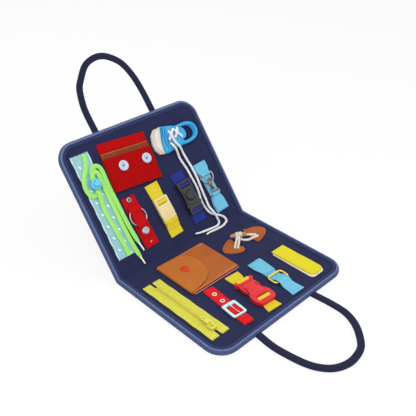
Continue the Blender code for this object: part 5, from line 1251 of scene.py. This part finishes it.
# The tab passes under the buckle's bar and folds up inside the frame, slit for the prong
pivot = belt.at(0, 68, 0, 3.65)
FOLD_LEFT = ((-0.85, -2.4), (-0.85, -16.2), (-1.6, -17.2), (-6.4, -17.2), (-7.3, -16.2), (-7.3, -2.4))
FOLD_RIGHT = ((0.85, -2.4), (7.3, -2.4), (7.3, -7.5), (6.9, -10.4), (5.7, -13.4), (3.9, -15.9), (1.8, -17.2),
              (0.85, -16.6))
for side, outline in (("left", FOLD_LEFT), ("right", FOLD_RIGHT)):
    plate(f"belt_tab_{side}_fold", pivot, outline, -2.6, 2.5, RED_WEB, (), 1.0)
sweep("belt_tab_lower", pivot, [(0, -3.4, -2.65), (0, 6.5, -2.65), (0, 12, -2.65), (0, 17.8, -2.65)],
      strap_section(16.2, 1.3), RED_WEB, (1, 0, 0), stands_for=("belt_tab",))
sweep("belt_tab_upper", pivot, [(0, 2.4, -1.7), (0, 4.6, -1.3), (0, 9.4, -1.1), (0, 13, -1.15), (0, 17.6, -1.25)],
      strap_section(16.2, 1.3), RED_WEB, (1, 0, 0), smooth=60)
stitching("belt_tab_seam", pivot, [(-6.5, 9.8, -0.4), (6.5, 9.8, -0.4), (6.5, 15.8, -0.55), (-6.5, 15.8, -0.55),
                                   (-6.5, 9.8, -0.4)], RED_THREAD, 2.2, 0.4)
plate("buckle_frame", pivot.on("pin_buckle_frame"), corner_box(-11.4, 11.4, -25.6, 1.45, 2.4, 6), -1.0, 1.0, ENAMEL,
      (corner_box(-8.0, 8.0, -20.8, -1.3, 1.2, 4),), 0.7, ("pin_buckle_frame",))
turns = [math.radians(180 - 26 * i) for i in range(7)]
eye_line = [(0, 2.42 * math.sin(turn), 2.42 * math.cos(turn)) for turn in turns]
prong_line = [(0, -1.7, -1.75), (0, -1.0, -2.25), *eye_line, (0, -0.4, 2.5), (0, -3, 2.0), (0, -5, 1.4),
              (0, -9, 1.2), (0, -15, 1.2), (0, -18, 1.6), (0, -20, 1.95), (0, -23.6, 1.9), (0, -25.2, 1.75)]
sweep("buckle_prong", pivot.on("pin_buckle_prong"), prong_line,
      [(w * 0.9, t * 0.55) for w, t in round_section(2.3, 12)], ENAMEL, (1, 0, 0), False,
      lambda share: 0.5 if share < 0.7 else min(1.0, 0.5 + 4 * (share - 0.7)), ("pin_buckle_prong",))

# Red clip on yellow webbing
clip = FRONT.at(-6, 88, -4.5)
strap("clip_webbing", clip, 24.5, 89, YELLOW_WEB, YELLOW_THREAD, ("clip_strap",), 2.2, (20, 74))
plug = clip.on("clip_plug")
web_ramp("clip_plug_loop", plug, (19.6, 3.5), (23.4, 7.6), (26.6, 4.0), 10.9, YELLOW_WEB)
web_in_slot("clip_socket_web", clip, (70.2, 62.0), 10.7, 7.4, YELLOW_WEB)
SOCKET = ((0.6, 0.0), (0.56, 0.14), (0.56, 0.26), (0.66, 0.38), (0.84, 0.47), (0.96, 0.57), (1.0, 0.68), (0.98, 0.8),
          (0.9, 0.91), (0.76, 0.98), (0.6, 1.0))
half_line = [(x * 16.8, 33 + y * 44) for x, y in SOCKET]
plate("clip_socket_shell", clip, mirrored(half_line, 3), 2.0, 7.5, RED_SHELL,
      (corner_box(-10.9, 10.9, 62, 70.2, 1.0, 3),), 1.1, ("clip_socket",), 4)
plate("clip_socket_crown", clip, mirrored(((7.6, 36), (6.6, 42), (7.4, 50), (11, 55), (9.6, 60)), 4), 7.3, 8.1,
      RED_SHELL, (), 0.5)
for side, way in SIDES:
    groove = [(way * 8.6, 52.5, 7.6), (way * 12.8, 54.5, 7.5), (way * 13.6, 58, 7.5)]
    sweep(f"clip_socket_rib_{side}", clip, smooth_route(groove, 0.8), round_section(0.9, 8), RED_SHELL)
plate("clip_plug_bar", plug, corner_box(-14, 14, 21.5, 31.2, 2.2, 5), 2.0, 7.2, RED_SHELL,
      (corner_box(-10.9, 10.9, 23.9, 26.4, 0.7, 3),), 1.0, ("clip_plug",), 4)
for side, way in SIDES:
    arm = [(way * x, y, 4.6) for x, y in ((11.6, 29.5), (12.0, 33), (12.5, 38), (12.6, 42), (12.1, 46), (11.6, 48))]
    sweep(f"clip_arm_{side}", plug, smooth_route(arm, 1.2), strap_section(3.0, 5.0, 4), RED_SHELL, 'level', False,
          lambda s: 1.0 if s < 0.8 else 1.0 - 0.3 * (s - 0.8) / 0.2)
    plate(f"clip_ear_{side}", plug, ring(way * 12.6, 26.2, 3.7, 28), 2.0, 7.9, RED_SHELL, (), 1.9, (), 5)
    grip = [(way * 13.6, 36 + 2.1 * i, 3.0) for i in range(5)]
    blocks(f"clip_grip_{side}", plug, grip, (1.1, 0.8, 3.4), RED_SHELL)
plate("clip_tongue", plug, [(-4.4, 30), (4.4, 30), (4.2, 48), (0, 49), (-4.2, 48)], 3.7, 5.9, RED_SHELL, (), 0.4)

# Light-blue webbing with the gold slider
slide = FRONT.at(39, 90, -2)
slide_line = smooth_route(((0, 0, 1.0), (0, 12, 1.05), (0, 26, 1.15), (0, 38, 1.2), (0, 43.8, 1.1), (0, 49, 3.2),
                           (0, 53.2, 5.0), (0, 57, 5.7), (0, 60.2, 5.1), (0, 64, 2.9), (0, 68.6, 1.15), (0, 78, 1.05),
                           (0, 87, 1.0)), 1.5)
draw_in = ((0, 1.1), (0.12, 1.0), (0.42, 0.86), (0.55, 0.84), (0.75, 0.84), (0.9, 0.93), (1.0, 1.04))
slide_rows = []
for i, spot in enumerate(slide_line):
    half = 11.25 * read_line(draw_in, i / (len(slide_line) - 1))
    slide_rows.append([(half * u, spot.y, spot.z + 0.12 * math.cos(u * 8))
                       for u in ACROSS])
cloth("slider_webbing", slide, slide_rows, 1.3, SKY_WEB, ("slider_strap",), 70)
fold_outline = ((-13.6, 4), (-12.4, 1.2), (10.8, 0.4), (12.2, 3), (11.8, 14), (10.2, 32.6), (-9.8, 33.2), (-11.6, 24),
                (-13.6, 15))
plate("slider_web_fold", slide, fold_outline, 1.75, 3.3, SKY_WEB, (), 0.5)
for name, seam in (("fold", ((-8.5, 30.6, 3.35), (9.5, 30.6, 3.35))), ("near", ((-11, 3.4, 3.35), (10.6, 2.6, 3.35))),
                   ("far", ((-9.5, 83, 1.7), (9.5, 83, 1.7)))):
    stitching(f"slider_{name}_seam", slide, seam, SKY_THREAD, 2.2, 0.4)
gold = slide.at(0, 57, 0, 3.2, "slider_ring")
sweep("gold_slider_ring", gold, [(*p, 0) for p in corner_box(-13.3, 13.3, -17, 0, 4.6, 8)],
      round_section(3.0, 14), GOLD, 'level', True, stands_for=("slider_ring",))

# Hook-and-loop strap
peel = FRONT.at(87, 94)
plate("hook_strip_base", peel, corner_box(-14, 14, 0, 79, 7, 8), 0.35, 1.2, CREAM_FUZZ, (), 0.3, ("hook_strip",))
hooks = [(-12 + 1.6 * i + (0.8 if j % 2 else 0), 3 + 1.7 * j, 1.1) for i in range(16) for j in range(43)
         if not (j > 38 and (i < 3 or i > 12))]
blocks("hook_field", peel, hooks, (0.5, 0.5, 0.55), CREAM_FUZZ)


def corner_cut(radius, left):
    """How far a rounded corner draws in the edge so near to the strap's end."""
    return radius - math.sqrt(max(0.0, radius ** 2 - max(0.0, radius - left) ** 2))


peel_rows = []
for i in range(31):
    y = 0.2 + (76.6 - 0.2) * math.sin(math.pi / 2 * i / 30)
    half = 12.7 - corner_cut(8.0, 76.6 - y)
    peel_rows.append([(0.1 + y * 0.02 + half * u, y, 2.75 + 0.12 * math.sin(y * 0.16)) for u in ACROSS])
peel_strap = cloth("loop_strap_web", peel.on(None), peel_rows, 1.5, YELLOW_PILE, ("loop_strap",))
peel.world((0, 0.6, 2.9))
peel.world((0, 7, 2.9))
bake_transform(peel_strap)
stitching("loop_strap_seam", peel, [(-11.5, 1.5, 3.5), (11.5, 1.5, 3.5)], YELLOW_THREAD, 2.2, 0.4)
loop_body = peel.on("loop_strap")
edge_line = [(-10.9, 9, 3.52), (-9.7, 68, 3.5), (-5, 74.4, 3.5), (8, 74.4, 3.5), (12.7, 68, 3.5), (11.5, 9, 3.52)]
stitching("loop_strap_edge", loop_body, edge_line, YELLOW_THREAD, 2.8, 0.4)

# Dotted ribbon
RIBBON = Finish("dotted_ribbon", 0.6, 0.0, Sheen_Weight=0.15)
dot_across = RIBBON.x.size() - 7.0
dot_along = (RIBBON.y + RIBBON.x * 0.72 + 18.5).math('MODULO', 18.5) - 9.25
dot_far = dot_across * dot_across + dot_along * dot_along
dots = ((1 - dot_far / 4.2) * 1.6).between(0.0, 1.0)
ribbon_rib = RIBBON.y.wave(0.8) * 0.5 + 0.5
ribbon_shade = ribbon_rib * 0.3 + RIBBON.noise(0.15, 3.0) * 0.7
ribbon_ground = RIBBON.mix(ribbon_shade, colour_of("74aeb8"), colour_of("a2d0d4"))
selvedge = ((RIBBON.x.size() - 13.2) * 0.9).between(0.0, 0.7)
ribbon_ground = RIBBON.mix(selvedge, ribbon_ground, colour_of("dcf0f0"))
RIBBON.set(Base_Color=RIBBON.mix(dots, ribbon_ground, colour_of("eef8f6")))
RIBBON.bump(ribbon_rib, 0.08)
ribbon_place = BACK.at(-98.5, 8)
ribbon_rows = []
for j in range(70):
    y = 0.2 + 161.6 * j / 69
    row = []
    for k in range(19):
        u = k / 9 - 1
        wander = 0.4 * math.sin(y * 0.3 + (2 if u < 0 else 0)) * abs(u) ** 6
        pink = 1.6 * (k % 2) * (1 if j == 0 else -1 if j == 69 else 0)
        row.append((15.0 * u + wander, y + pink, 0.6 + 0.07 * math.sin(y * 0.37) * abs(u)))
    ribbon_rows.append(row)
ribbon = cloth("ribbon_weave", ribbon_place, ribbon_rows, 0.45, RIBBON.material, ("ribbon",))
for side, x in (("left", -13.6), ("right", 13.6)):
    stitching(f"ribbon_{side}_seam", ribbon_place, [(x, y, 0.86) for y in (3, 60, 110, 159)],
              thread(f"pale_{side}", "c4dede", "e8f6f4"), 2.6, 0.35)

# Lock on the green laces
lock = BACK.at(-97.3, 121).on("cord_lock_body")
turned("lock_barrel", lock, 0, 0, ((0, 1.2), (6.6, 1.2), (7.6, 1.8), (8.0, 3.0), (7.7, 5.6), (7.9, 8.6), (7.6, 10.2),
                                   (6.6, 11.0), (5.0, 11.0), (4.9, 6.2), (0, 6.2)), SKY_SHELL, 40, ("cord_lock_body",))
for i in range(10):
    angle = 2 * math.pi * (i + 0.5) / 10
    rib_line = [(7.4 * math.cos(angle), 7.4 * math.sin(angle), h) for h in (6.3, 7.8, 9.4)]
    sweep(f"lock_rib{i}", lock, rib_line, round_section(0.9, 8), SKY_SHELL, (1, 0, 0))
turned("lock_button", lock.on("cord_lock_button"), 0, 0,
       ((0, 9.95), (4.4, 9.95), (4.5, 11.6), (4.4, 13.0), (3.9, 13.6), (2.6, 13.75), (1.6, 13.4), (0, 13.3)),
       SKY_SHELL, 32, ("cord_lock_button",))

# Buttoned pocket
BRIGHT_RED = felt("bright_pocket_felt", "a00000", "c60404", 0.0)
DARK_RED_THREAD = thread("dark_red", "700404", "8c0808")
pocket = BACK.at(-30.2, 95, 4.2)
pocket_outline = corner_box(-42.4, 42.4, 0.2, 74.8, 1.2, 3)
felt_back = plate("pocket_felt", pocket, pocket_outline, 0.35, 1.75, BRIGHT_RED, stands_for=("pocket_back",))
stitching("pocket_felt_seam", pocket, inset_line(pocket_outline, 2.2, 1.8), DARK_RED_THREAD, 2.8, 0.45)
hide_band = plate("pocket_hide", pocket, corner_box(-42.4, 42.4, 0.2, 59.8, 1.0, 3), 2.1, 3.45, BROWN, (), 0.35,
                  ("pocket_leather",))
stitching("pocket_hide_seam0", pocket, [(-41, 58.4, 3.5), (41, 58.4, 3.5)], TAN_THREAD, 2.6, 0.45)
stitching("pocket_hide_end_seam", pocket, [(-41, 58, 3.5), (-41, 52, 3.5)], TAN_THREAD, 2.2, 0.45)
pocket_rows = []
for i in range(25):
    y = 0.35 + 50.2 * i / 24
    row = []
    for k in range(19):
        u = k / 9 - 1
        corner = 0.0 if i < 24 else 0.4 * u ** 8
        lift = 0.12 * math.sin(u * 5 + y * 0.05) * (y / 50)
        row.append((41.9 * u, y - corner, 4.7 + lift))
    pocket_rows.append(row)
pocket_cloth = cloth("pocket_flap_felt", pocket.on(None), pocket_rows, 1.7, RED_FELT, ("pocket_flap",))
pocket.world((0, 0.1, 4.6))
pocket.world((0, 5, 4.6))
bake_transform(pocket_cloth)
flap_place = pocket.on("pocket_flap")
flap_seam = [(-40.2, 7, 5.6), (-40.2, 48.8, 5.6), (40.2, 48.8, 5.6), (40.2, 7, 5.6)]
stitching("pocket_flap_seam", flap_place, flap_seam, thread("red_seam", "780404", "940a0a"), 2.8, 0.45)
BUTTON_PROFILE = ((0, 6.9), (3.4, 6.9), (4.2, 7.5), (4.9, 8.25), (6.2, 8.45), (7.3, 8.2), (7.9, 7.4), (7.95, 6.6),
                  (7.4, 6.1), (5.5, 5.9), (0, 5.9))
for side, x in (("left", -14.8), ("right", 27.3)):
    turned(f"pocket_button_{side}", flap_place, x, 34, BUTTON_PROFILE, PALE_SHELL, 40, (f"button_{side}",))
    holes = [(x + u * 1.25, 34 + v * 1.25) for u in (-1, 1) for v in (-1, 1)]
    # Dark discs in the four holes are painted shade
    for number, (hole_x, hole_y) in enumerate(holes):
        turned(f"button_{side}_hole{number}", flap_place, hole_x, hole_y,
               ((0, 7.02), (0.62, 6.98), (0.62, 6.6), (0, 6.6)), HOLE_SHADE, 12)
    for number, (a, b) in enumerate(((0, 3), (1, 2))):
        ends = [(*holes[a], 6.9), (*holes[a], 7.35), (x, 34, 7.55), (*holes[b], 7.35), (*holes[b], 6.9)]
        sweep(f"button_{side}_thread{number}", flap_place, smooth_route(ends, 0.35), round_section(0.75, 8),
              GREY_THREAD, 'carried')

# Shoe
CAP_SHARES = ((0.29, 0.995), (0.135, 0.976), (0.048, 0.8), (0, 0.474), (0.007, 0.25), (0.061, 0.067), (0.16, 0.012),
              (0.171, 0.19), (0.183, 0.384), (0.214, 0.584))
UPPER_SHARES = ((0.306, 0.995), (0.509, 0.895), (0.588, 0.835), (0.67, 0.828), (0.76, 0.828), (0.817, 0.81),
                (0.923, 0.746), (0.981, 0.62), (0.999, 0.505), (0.988, 0.365), (0.949, 0.235), (0.88, 0.149),
                (0.769, 0.084), (0.67, 0.053), (0.579, 0.058), (0.511, 0.079), (0.366, 0.023), (0.264, 0.0),
                (0.176, 0.012), (0.187, 0.19), (0.199, 0.384), (0.23, 0.584))
COLLAR_SHARES = ((0.67, 0.653), (0.768, 0.677), (0.858, 0.626), (0.903, 0.498), (0.898, 0.346), (0.84, 0.251),
                 (0.76, 0.226), (0.653, 0.242), (0.691, 0.4), (0.7, 0.54))
SHOE = (90, 43)
shoe = BACK.at(20.8, 120.2)
cap_outline = scaled(CAP_SHARES, (0, 0), SHOE)
upper_outline = scaled(UPPER_SHARES, (0, 0), SHOE)
collar_outline = [(p.x, p.y) for p in inset_line(smooth_outline(scaled(COLLAR_SHARES, (0, 0), SHOE), 3), -1.6, 0)[:-1]]
toe_seam = [(26.1 - 1.9, 39.4), (12.5, 39.4), (6.6, 33), (3.4, 20.4), (4.1, 11.6), (8.2, 5.0), (14, 3.2)]
toe_line = [(x, y) for x, y in smooth_outline(toe_seam, 5)[:-9]]
toe_cap = pillow("shoe_toe", shoe, cap_outline, (), 0.4, 9.1, 8.0, WHITE_RUBBER, ("shoe_toe_cap",), 1.1, 0.35,
                 (toe_line,), 0.5)
vamp_lines = []
for x, swing in ((21.6, 1.2), (26.4, 1.6)):
    line = []
    for i in range(29):
        y = 2.2 + 38.0 * i / 28
        bend = swing * math.cos(y * 0.42) * 0.9
        line.append((x + 4.6 * (y / 43) ** 2 - bend, y, 8.0 - 3.4 * abs(y / 21.5 - 1) ** 6))
    vamp_lines.append(line)
shoe_body = pillow("shoe_body", shoe, upper_outline, (collar_outline,), 0.4, 8.5, 6.0, BLUE_FOAM, ("shoe_upper",), 1.1,
                   0.35, vamp_lines, 0.5)
sweep("toe_inner_line", shoe, [(x, y, 8.1) for x, y in toe_line], round_section(0.6, 8),
      thread("toe_seam", "b8b098", "ccc4ac"), 'carried')
for number, line in enumerate(vamp_lines):
    sweep(f"shoe_vamp_seam{number}", shoe, line, round_section(1.0, 8), BLUE_SEAM, 'carried')
middle = [(0.50, 0.83), (0.585, 0.775), (0.67, 0.765), (0.765, 0.772), (0.85, 0.74), (0.922, 0.67), (0.957, 0.57),
          (0.966, 0.48), (0.956, 0.356), (0.915, 0.236), (0.84, 0.158), (0.752, 0.125), (0.66, 0.12), (0.58, 0.13),
          (0.50, 0.15)]
rim_line = smooth_route([(x * SHOE[0], y * SHOE[1], 6.0) for x, y in middle], 1.2)
sweep("shoe_collar_rim", shoe, rim_line, [(w * 0.94, t * 0.9) for w, t in round_section(5.8, 16)], BLUE_RIM, 'level',
      False, lambda s: min(1.0, 0.35 + 5.0 * min(s, 1 - s)))
tongue_outline = smooth_outline(((52, 31), (58, 30.6), (62, 28.6), (64.6, 24), (65, 18.5), (62.6, 13.4), (58, 11.2),
                                 (52, 11.6)), 4)
pillow("shoe_tongue", shoe, tongue_outline, (), 5.6, 9.4, 4.0, BLUE_FOAM, (), 1.0, 0.5)
EYELETS = ((34, 31.5), (43, 32), (52, 31.5), (29.7, 18.6), (41.4, 18.4), (54, 15.0), (28.4, 12.2))
for number, (x, y) in enumerate(EYELETS):
    turned(f"shoe_eyelet{number}", shoe, x, y,
           ((1.3, 7.6), (1.4, 8.9), (1.8, 9.15), (2.3, 9.0), (2.6, 8.4), (2.5, 7.4)), BRONZE, 20)
lace_section = [(w, t * 0.8) for w, t in round_section(4.2, 12)]
for number, (a, b, rise) in enumerate(((1, 3, 0), (1, 5, 0), (2, 4, 1.9))):
    start, end = Vector(EYELETS[a]), Vector(EYELETS[b])
    line = []
    for share, height in ((0, 7.6), (0.02, 9.2), (0.14, 10.3), (0.5, 10.5 + rise), (0.86, 10.3), (0.98, 9.2), (1, 7.6)):
        spot = start.lerp(end, share)
        line.append((spot.x, spot.y, height))
    sweep(f"shoe_lacing{number}", shoe, smooth_route(line, 0.9), lace_section, WHITE, 'carried')

# Snap strap with its ring
snap = BACK.at(-53, 5, -3.2)
SNAP_RED = felt("snap_strap_felt", "a80008", "d00c12", 0.1)
snap_outline = corner_box(-11.9, 11.9, 0.1, 80.9, 1.0, 3)
plate("snap_felt", snap, snap_outline, 0.35, 1.7, SNAP_RED, stands_for=("snap_strap_base",))
stitching("snap_felt_seam", snap, inset_line(snap_outline, 1.8, 1.75), RED_THREAD, 2.6, 0.4)
turned("snap_stud", snap, 0, 76, ((1.6, 2.0), (1.8, 3.0), (2.5, 3.3), (3.5, 3.1), (4.0, 2.4), (4.0, 1.6), (1.6, 1.6)),
       STEEL, 32)
# A dark disc in the stud is painted shade in its hole
turned("snap_stud_hole_shade", snap, 0, 76, ((0, 2.2), (1.7, 2.2), (1.7, 1.65), (0, 1.65)), HOLE_SHADE, 20)
sweep("snap_staple", snap, [(-1.6, 6.0, 1.9), (0, 6.9, 2.2), (1.9, 7.9, 1.9)], strap_section(1.5, 0.8), STEEL)
o_line = [(*p, 3.25) for p in ring(0, 48, 13.7, 64)]
sweep("snap_o_ring", snap, o_line, round_section(2.5, 14), STEEL, 'level', True, stands_for=("o_ring",))
tongue_line = smooth_route(((0, 66.0, 2.7), (0, 64.9, 2.75), (0, 64, 3.2), (0, 62.4, 5.3), (0, 60.6, 6.3),
                            (0, 58, 6.0), (0, 54, 4.4), (0, 48, 3.7), (0, 42, 4.2), (0, 38, 5.9), (0, 35.4, 6.3),
                            (0, 33.4, 5.4), (0, 31.0, 3.4), (0, 29, 2.9), (0, 25, 2.8), (0, 16.1, 2.7)), 1.1)
tongue_grid = []
for spot in tongue_line:
    half = 9.4 - corner_cut(6.5, spot.y - 16.1)
    tongue_grid.append([(half * u, spot.y, spot.z) for u in (-1, -0.95, -0.65, -0.33, 0, 0.33, 0.65, 0.95, 1)])
tongue_web = cloth("snap_tongue_felt", snap.on(None), tongue_grid, 1.35, SNAP_RED, ("snap_strap_tongue",), 70)
snap.world((0, 65.6, 2.7))
snap.world((0, 62.5, 3.4))
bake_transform(tongue_web)
tongue_place = snap.on("snap_tongue")
turned("snap_cap", tongue_place, 0, 25,
       ((0, 4.6), (1.6, 4.6), (2.2, 4.9), (3.6, 5.25), (5.4, 4.9), (6.3, 4.2), (6.5, 3.4), (0, 3.4)), STEEL, 36)
for number, (y, height) in enumerate(((41.0, 4.9), (55.0, 5.0))):
    crease = [(x, y, height + rise) for x, rise in ((-8.6, 0.3), (0, 0.32), (8.6, 0.3))]
    sweep(f"snap_tongue_crease{number}", tongue_place, crease, round_section(0.7, 8), RED_THREAD)
stitching("snap_tongue_seam", tongue_place, [(-7.6, 29.5, 3.6), (-7.6, 22, 3.5), (-3.6, 18, 3.4), (3.6, 18, 3.4),
                                             (7.6, 22, 3.5), (7.6, 29.5, 3.6)], RED_THREAD, 2.4, 0.4)

# Cream slide buckle on yellow webbing
cream = BACK.at(-6, 2, -3.3)
strap("cream_webbing", cream, 24, 87, YELLOW_WEB, YELLOW_THREAD, ("yellow_strap",), 0.8, (20, 66))
web_ramp("cream_plug_loop", cream.on("cream_plug"), (13, 2.3), (23.6, 5.6), (29.4, 3.0), 11.8, YELLOW_WEB)
web_in_slot("cream_socket_web", cream, (59.8, 51.6), 8.9, 6.4, YELLOW_WEB)
plate("cream_socket_shell", cream, corner_box(-12.6, 12.6, 31.3, 63, 2.4, 6), 2.0, 6.4, CREAM_SHELL,
      (corner_box(-9.1, 9.1, 51.6, 59.8, 0.8, 3),), 0.7, ("cream_socket",), 4)
plate("cream_socket_panel", cream, corner_box(-9.6, 9.6, 34.4, 49.4, 1.2, 4), 6.2, 6.9, CREAM_SHELL)
for number, y in enumerate((37.5, 40.2)):
    sweep(f"cream_socket_ridge{number}", cream, [(-4.5, y, 6.95), (4.5, y, 6.95)], round_section(0.7, 8),
          CREAM_SHELL, (0, 1, 0))
cream_tab = cream.on("cream_plug")
plate("cream_plug_shell", cream_tab, corner_box(-12.4, 12.4, 27.6, 31.1, 0.9, 4), 2.0, 6.4, CREAM_SHELL, (), 0.6,
      ("cream_plug",), 4)
plate("cream_plug_bar", cream_tab, corner_box(-12.2, 12.2, 22.4, 28, 1.6, 4), 2.0, 4.6, CREAM_SHELL,
      (corner_box(-9, 9, 24.6, 27.2, 0.6, 3),), 0.6)
plate("cream_plug_tongue", cream_tab, [(-7.6, 30.5), (7.6, 30.5), (7.6, 44), (6.4, 46), (-6.4, 46), (-7.6, 44)],
      3.9, 5.3, CREAM_SHELL)

# Push buckle on navy webbing
navy = BACK.at(44, 3, -3.4)
strap("push_webbing", navy, 26, 85, NAVY_WEB, NAVY_WEB_THREAD, ("navy_strap",), 1.0, (14, 72))
web_in_slot("push_plug_web", navy.on("push_buckle_plug"), (18.1, 23.5), 9.9, 7.4, NAVY_WEB)
web_in_slot("push_body_web", navy, (66, 58.6), 10.0, 7.8, NAVY_WEB)
waist = [(13.2, 27.4), (13.3, 32), (12.4, 38), (12.0, 46), (12.6, 53), (13.3, 58), (13.4, 66), (12.4, 68.9)]
plate("push_buckle_shell", navy, mirrored(waist, 3), 2.0, 8.0, BLACK_SHELL, (corner_box(-10.2, 10.2, 58.6, 66, 0.9, 3),
      ring(0, 44, 8.35, 40)), 0.8, ("push_buckle_body",), 4)
plate("push_buckle_ledge", navy, mirrored(((9.8, 31), (9.4, 40), (9.2, 48), (9.8, 56)), 3), 7.8, 8.9, BLACK_SHELL,
      (ring(0, 44, 8.5, 40),), 0.4)
push_tab = navy.on("push_buckle_plug")
plate("push_plug_shell", push_tab, corner_box(-13.2, 13.2, 15.5, 26.9, 2.0, 5), 2.0, 7.6, BLACK_SHELL,
      (corner_box(-10.1, 10.1, 18.1, 23.5, 0.9, 3),), 0.9, ("push_buckle_plug",), 4)
plate("push_plug_tongue", push_tab, [(-8, 26.4), (8, 26.4), (8, 38.6), (6.8, 40), (-6.8, 40), (-8, 38.6)], 3.4, 5.0,
      BLACK_SHELL)
dome = [(8.1 * math.sin(math.pi / 2 * i / 8), 9.6 + 1.8 * math.cos(math.pi / 2 * i / 8)) for i in range(9)]
turned("push_dome", navy.on("push_button"), 0, 44, (*dome, (8.05, 8.6), (8.0, 7.0), (7.8, 6.6), (0, 6.6)),
       BLACK_SHELL, 40, ("push_button",))

# Snap hook on light-blue webbing
hook = BACK.at(92.5, 2, -3.4)
strap("hook_webbing", hook, 26, 85, SKY_WEB, SKY_THREAD, ("hook_strap",), 3.6, (30, 60))
for name, way, bar_y, half, first, last in (("lower", 1, 29, 7.5, 0.8, 26), ("upper", -1, 64, 9.9, 84.2, 67)):
    rows = []
    for i in range(12):
        y = first + (last - first) * i / 11
        narrow = read_line(((0, 12.2), (0.6, 11.6), (1.0, half)), i / 11)
        rows.append([(narrow * u, y, 2.35 + 0.06 * math.sin(y)) for u in (-1, -0.6, 0, 0.6, 1)])
    cloth(f"hook_tab_{name}", hook, rows, 1.1, SKY_WEB)
    arch = [(0, bar_y + way * past, height) for past, height in
            ((-4.6, 2.6), (-2.6, 3.2), (-1.2, 4.9), (0, 5.35), (1.2, 4.9), (2.2, 3.2), (2.35, 2.2))]
    sweep(f"hook_loop_{name}", hook, smooth_route(arch, 0.7), strap_section(2 * half, 1.2), SKY_WEB, (1, 0, 0),
          smooth=70)
    seam_y = bar_y - way * 5.0
    stitching(f"hook_tab_seam_{name}", hook, [(-10, seam_y, 3.0), (10, seam_y, 3.0)], SKY_THREAD, 2.0, 0.4)


def d_wire(name, bar_y, across, outward, rise, steps, solid):
    """A wire loop with a straight bar."""
    line = [(-across, 0, 3.2), (across, 0, 3.2)]
    for i in range(1, steps):
        angle = math.pi * i / steps
        line.append((across * math.cos(angle), outward * math.sin(angle), 3.2 + rise * math.sin(angle)))
    sweep(name, hook.at(0, bar_y), line, round_section(2.4, 12), STEEL, 'carried', True, stands_for=(solid,))


d_wire("d_ring_wire", 64, 13, -16, 2.9, 24, "d_ring")
d_wire("hook_eye_wire", 29, -10.5, 7.5, 0, 20, "snap_hook")
HOOK_CURVE = ((0, 36, 3.6), (-0.6, 39, 5.2), (-3.4, 42, 7.8), (-5.6, 45.5, 9.2), (-5.4, 50.5, 9.3), (-2.4, 54.4, 8.4),
              (2, 54.8, 6), (5, 51.6, 3.8))
sweep("hook_wire", hook, smooth_route(HOOK_CURVE, 0.9), round_section(3.0, 14), BRONZE, 'carried', False,
      lambda s: 1.0 if s < 0.9 else 1.0 - 2.2 * (s - 0.9))
turned("hook_swivel", hook, 0, 36.6, ((0, 5.9), (1.8, 5.7), (2.9, 4.9), (3.1, 3.6), (2.7, 2.5), (0, 2.2)), STEEL, 24)
sweep("hook_collar", hook, [(-0.1, 37.4, 4.0), (-0.5, 38.9, 5.1), (-1.3, 40.0, 6.0)], round_section(4.4, 14), BRONZE,
      'carried')
sweep("hook_gate_bar", hook.on("hook_gate"), [(2.6, 38.2, 3.2), (3.4, 41.6, 3.2), (4.2, 45.4, 3.2), (4.9, 48.9, 3.2)],
      [(w, t * 0.9) for w, t in round_section(2.3, 12)], STEEL, 'carried', stands_for=("hook_gate",))

# The boards inside the covers show only where the cloth ends
BOARD = canvas("grey_board", "8c8478", "aca494", 1.4, 0.1)
for side in ("front", "back"):
    board = bpy.data.objects[f"{side}_board"]
    board.data.materials.clear()
    board.data.materials.append(BOARD)
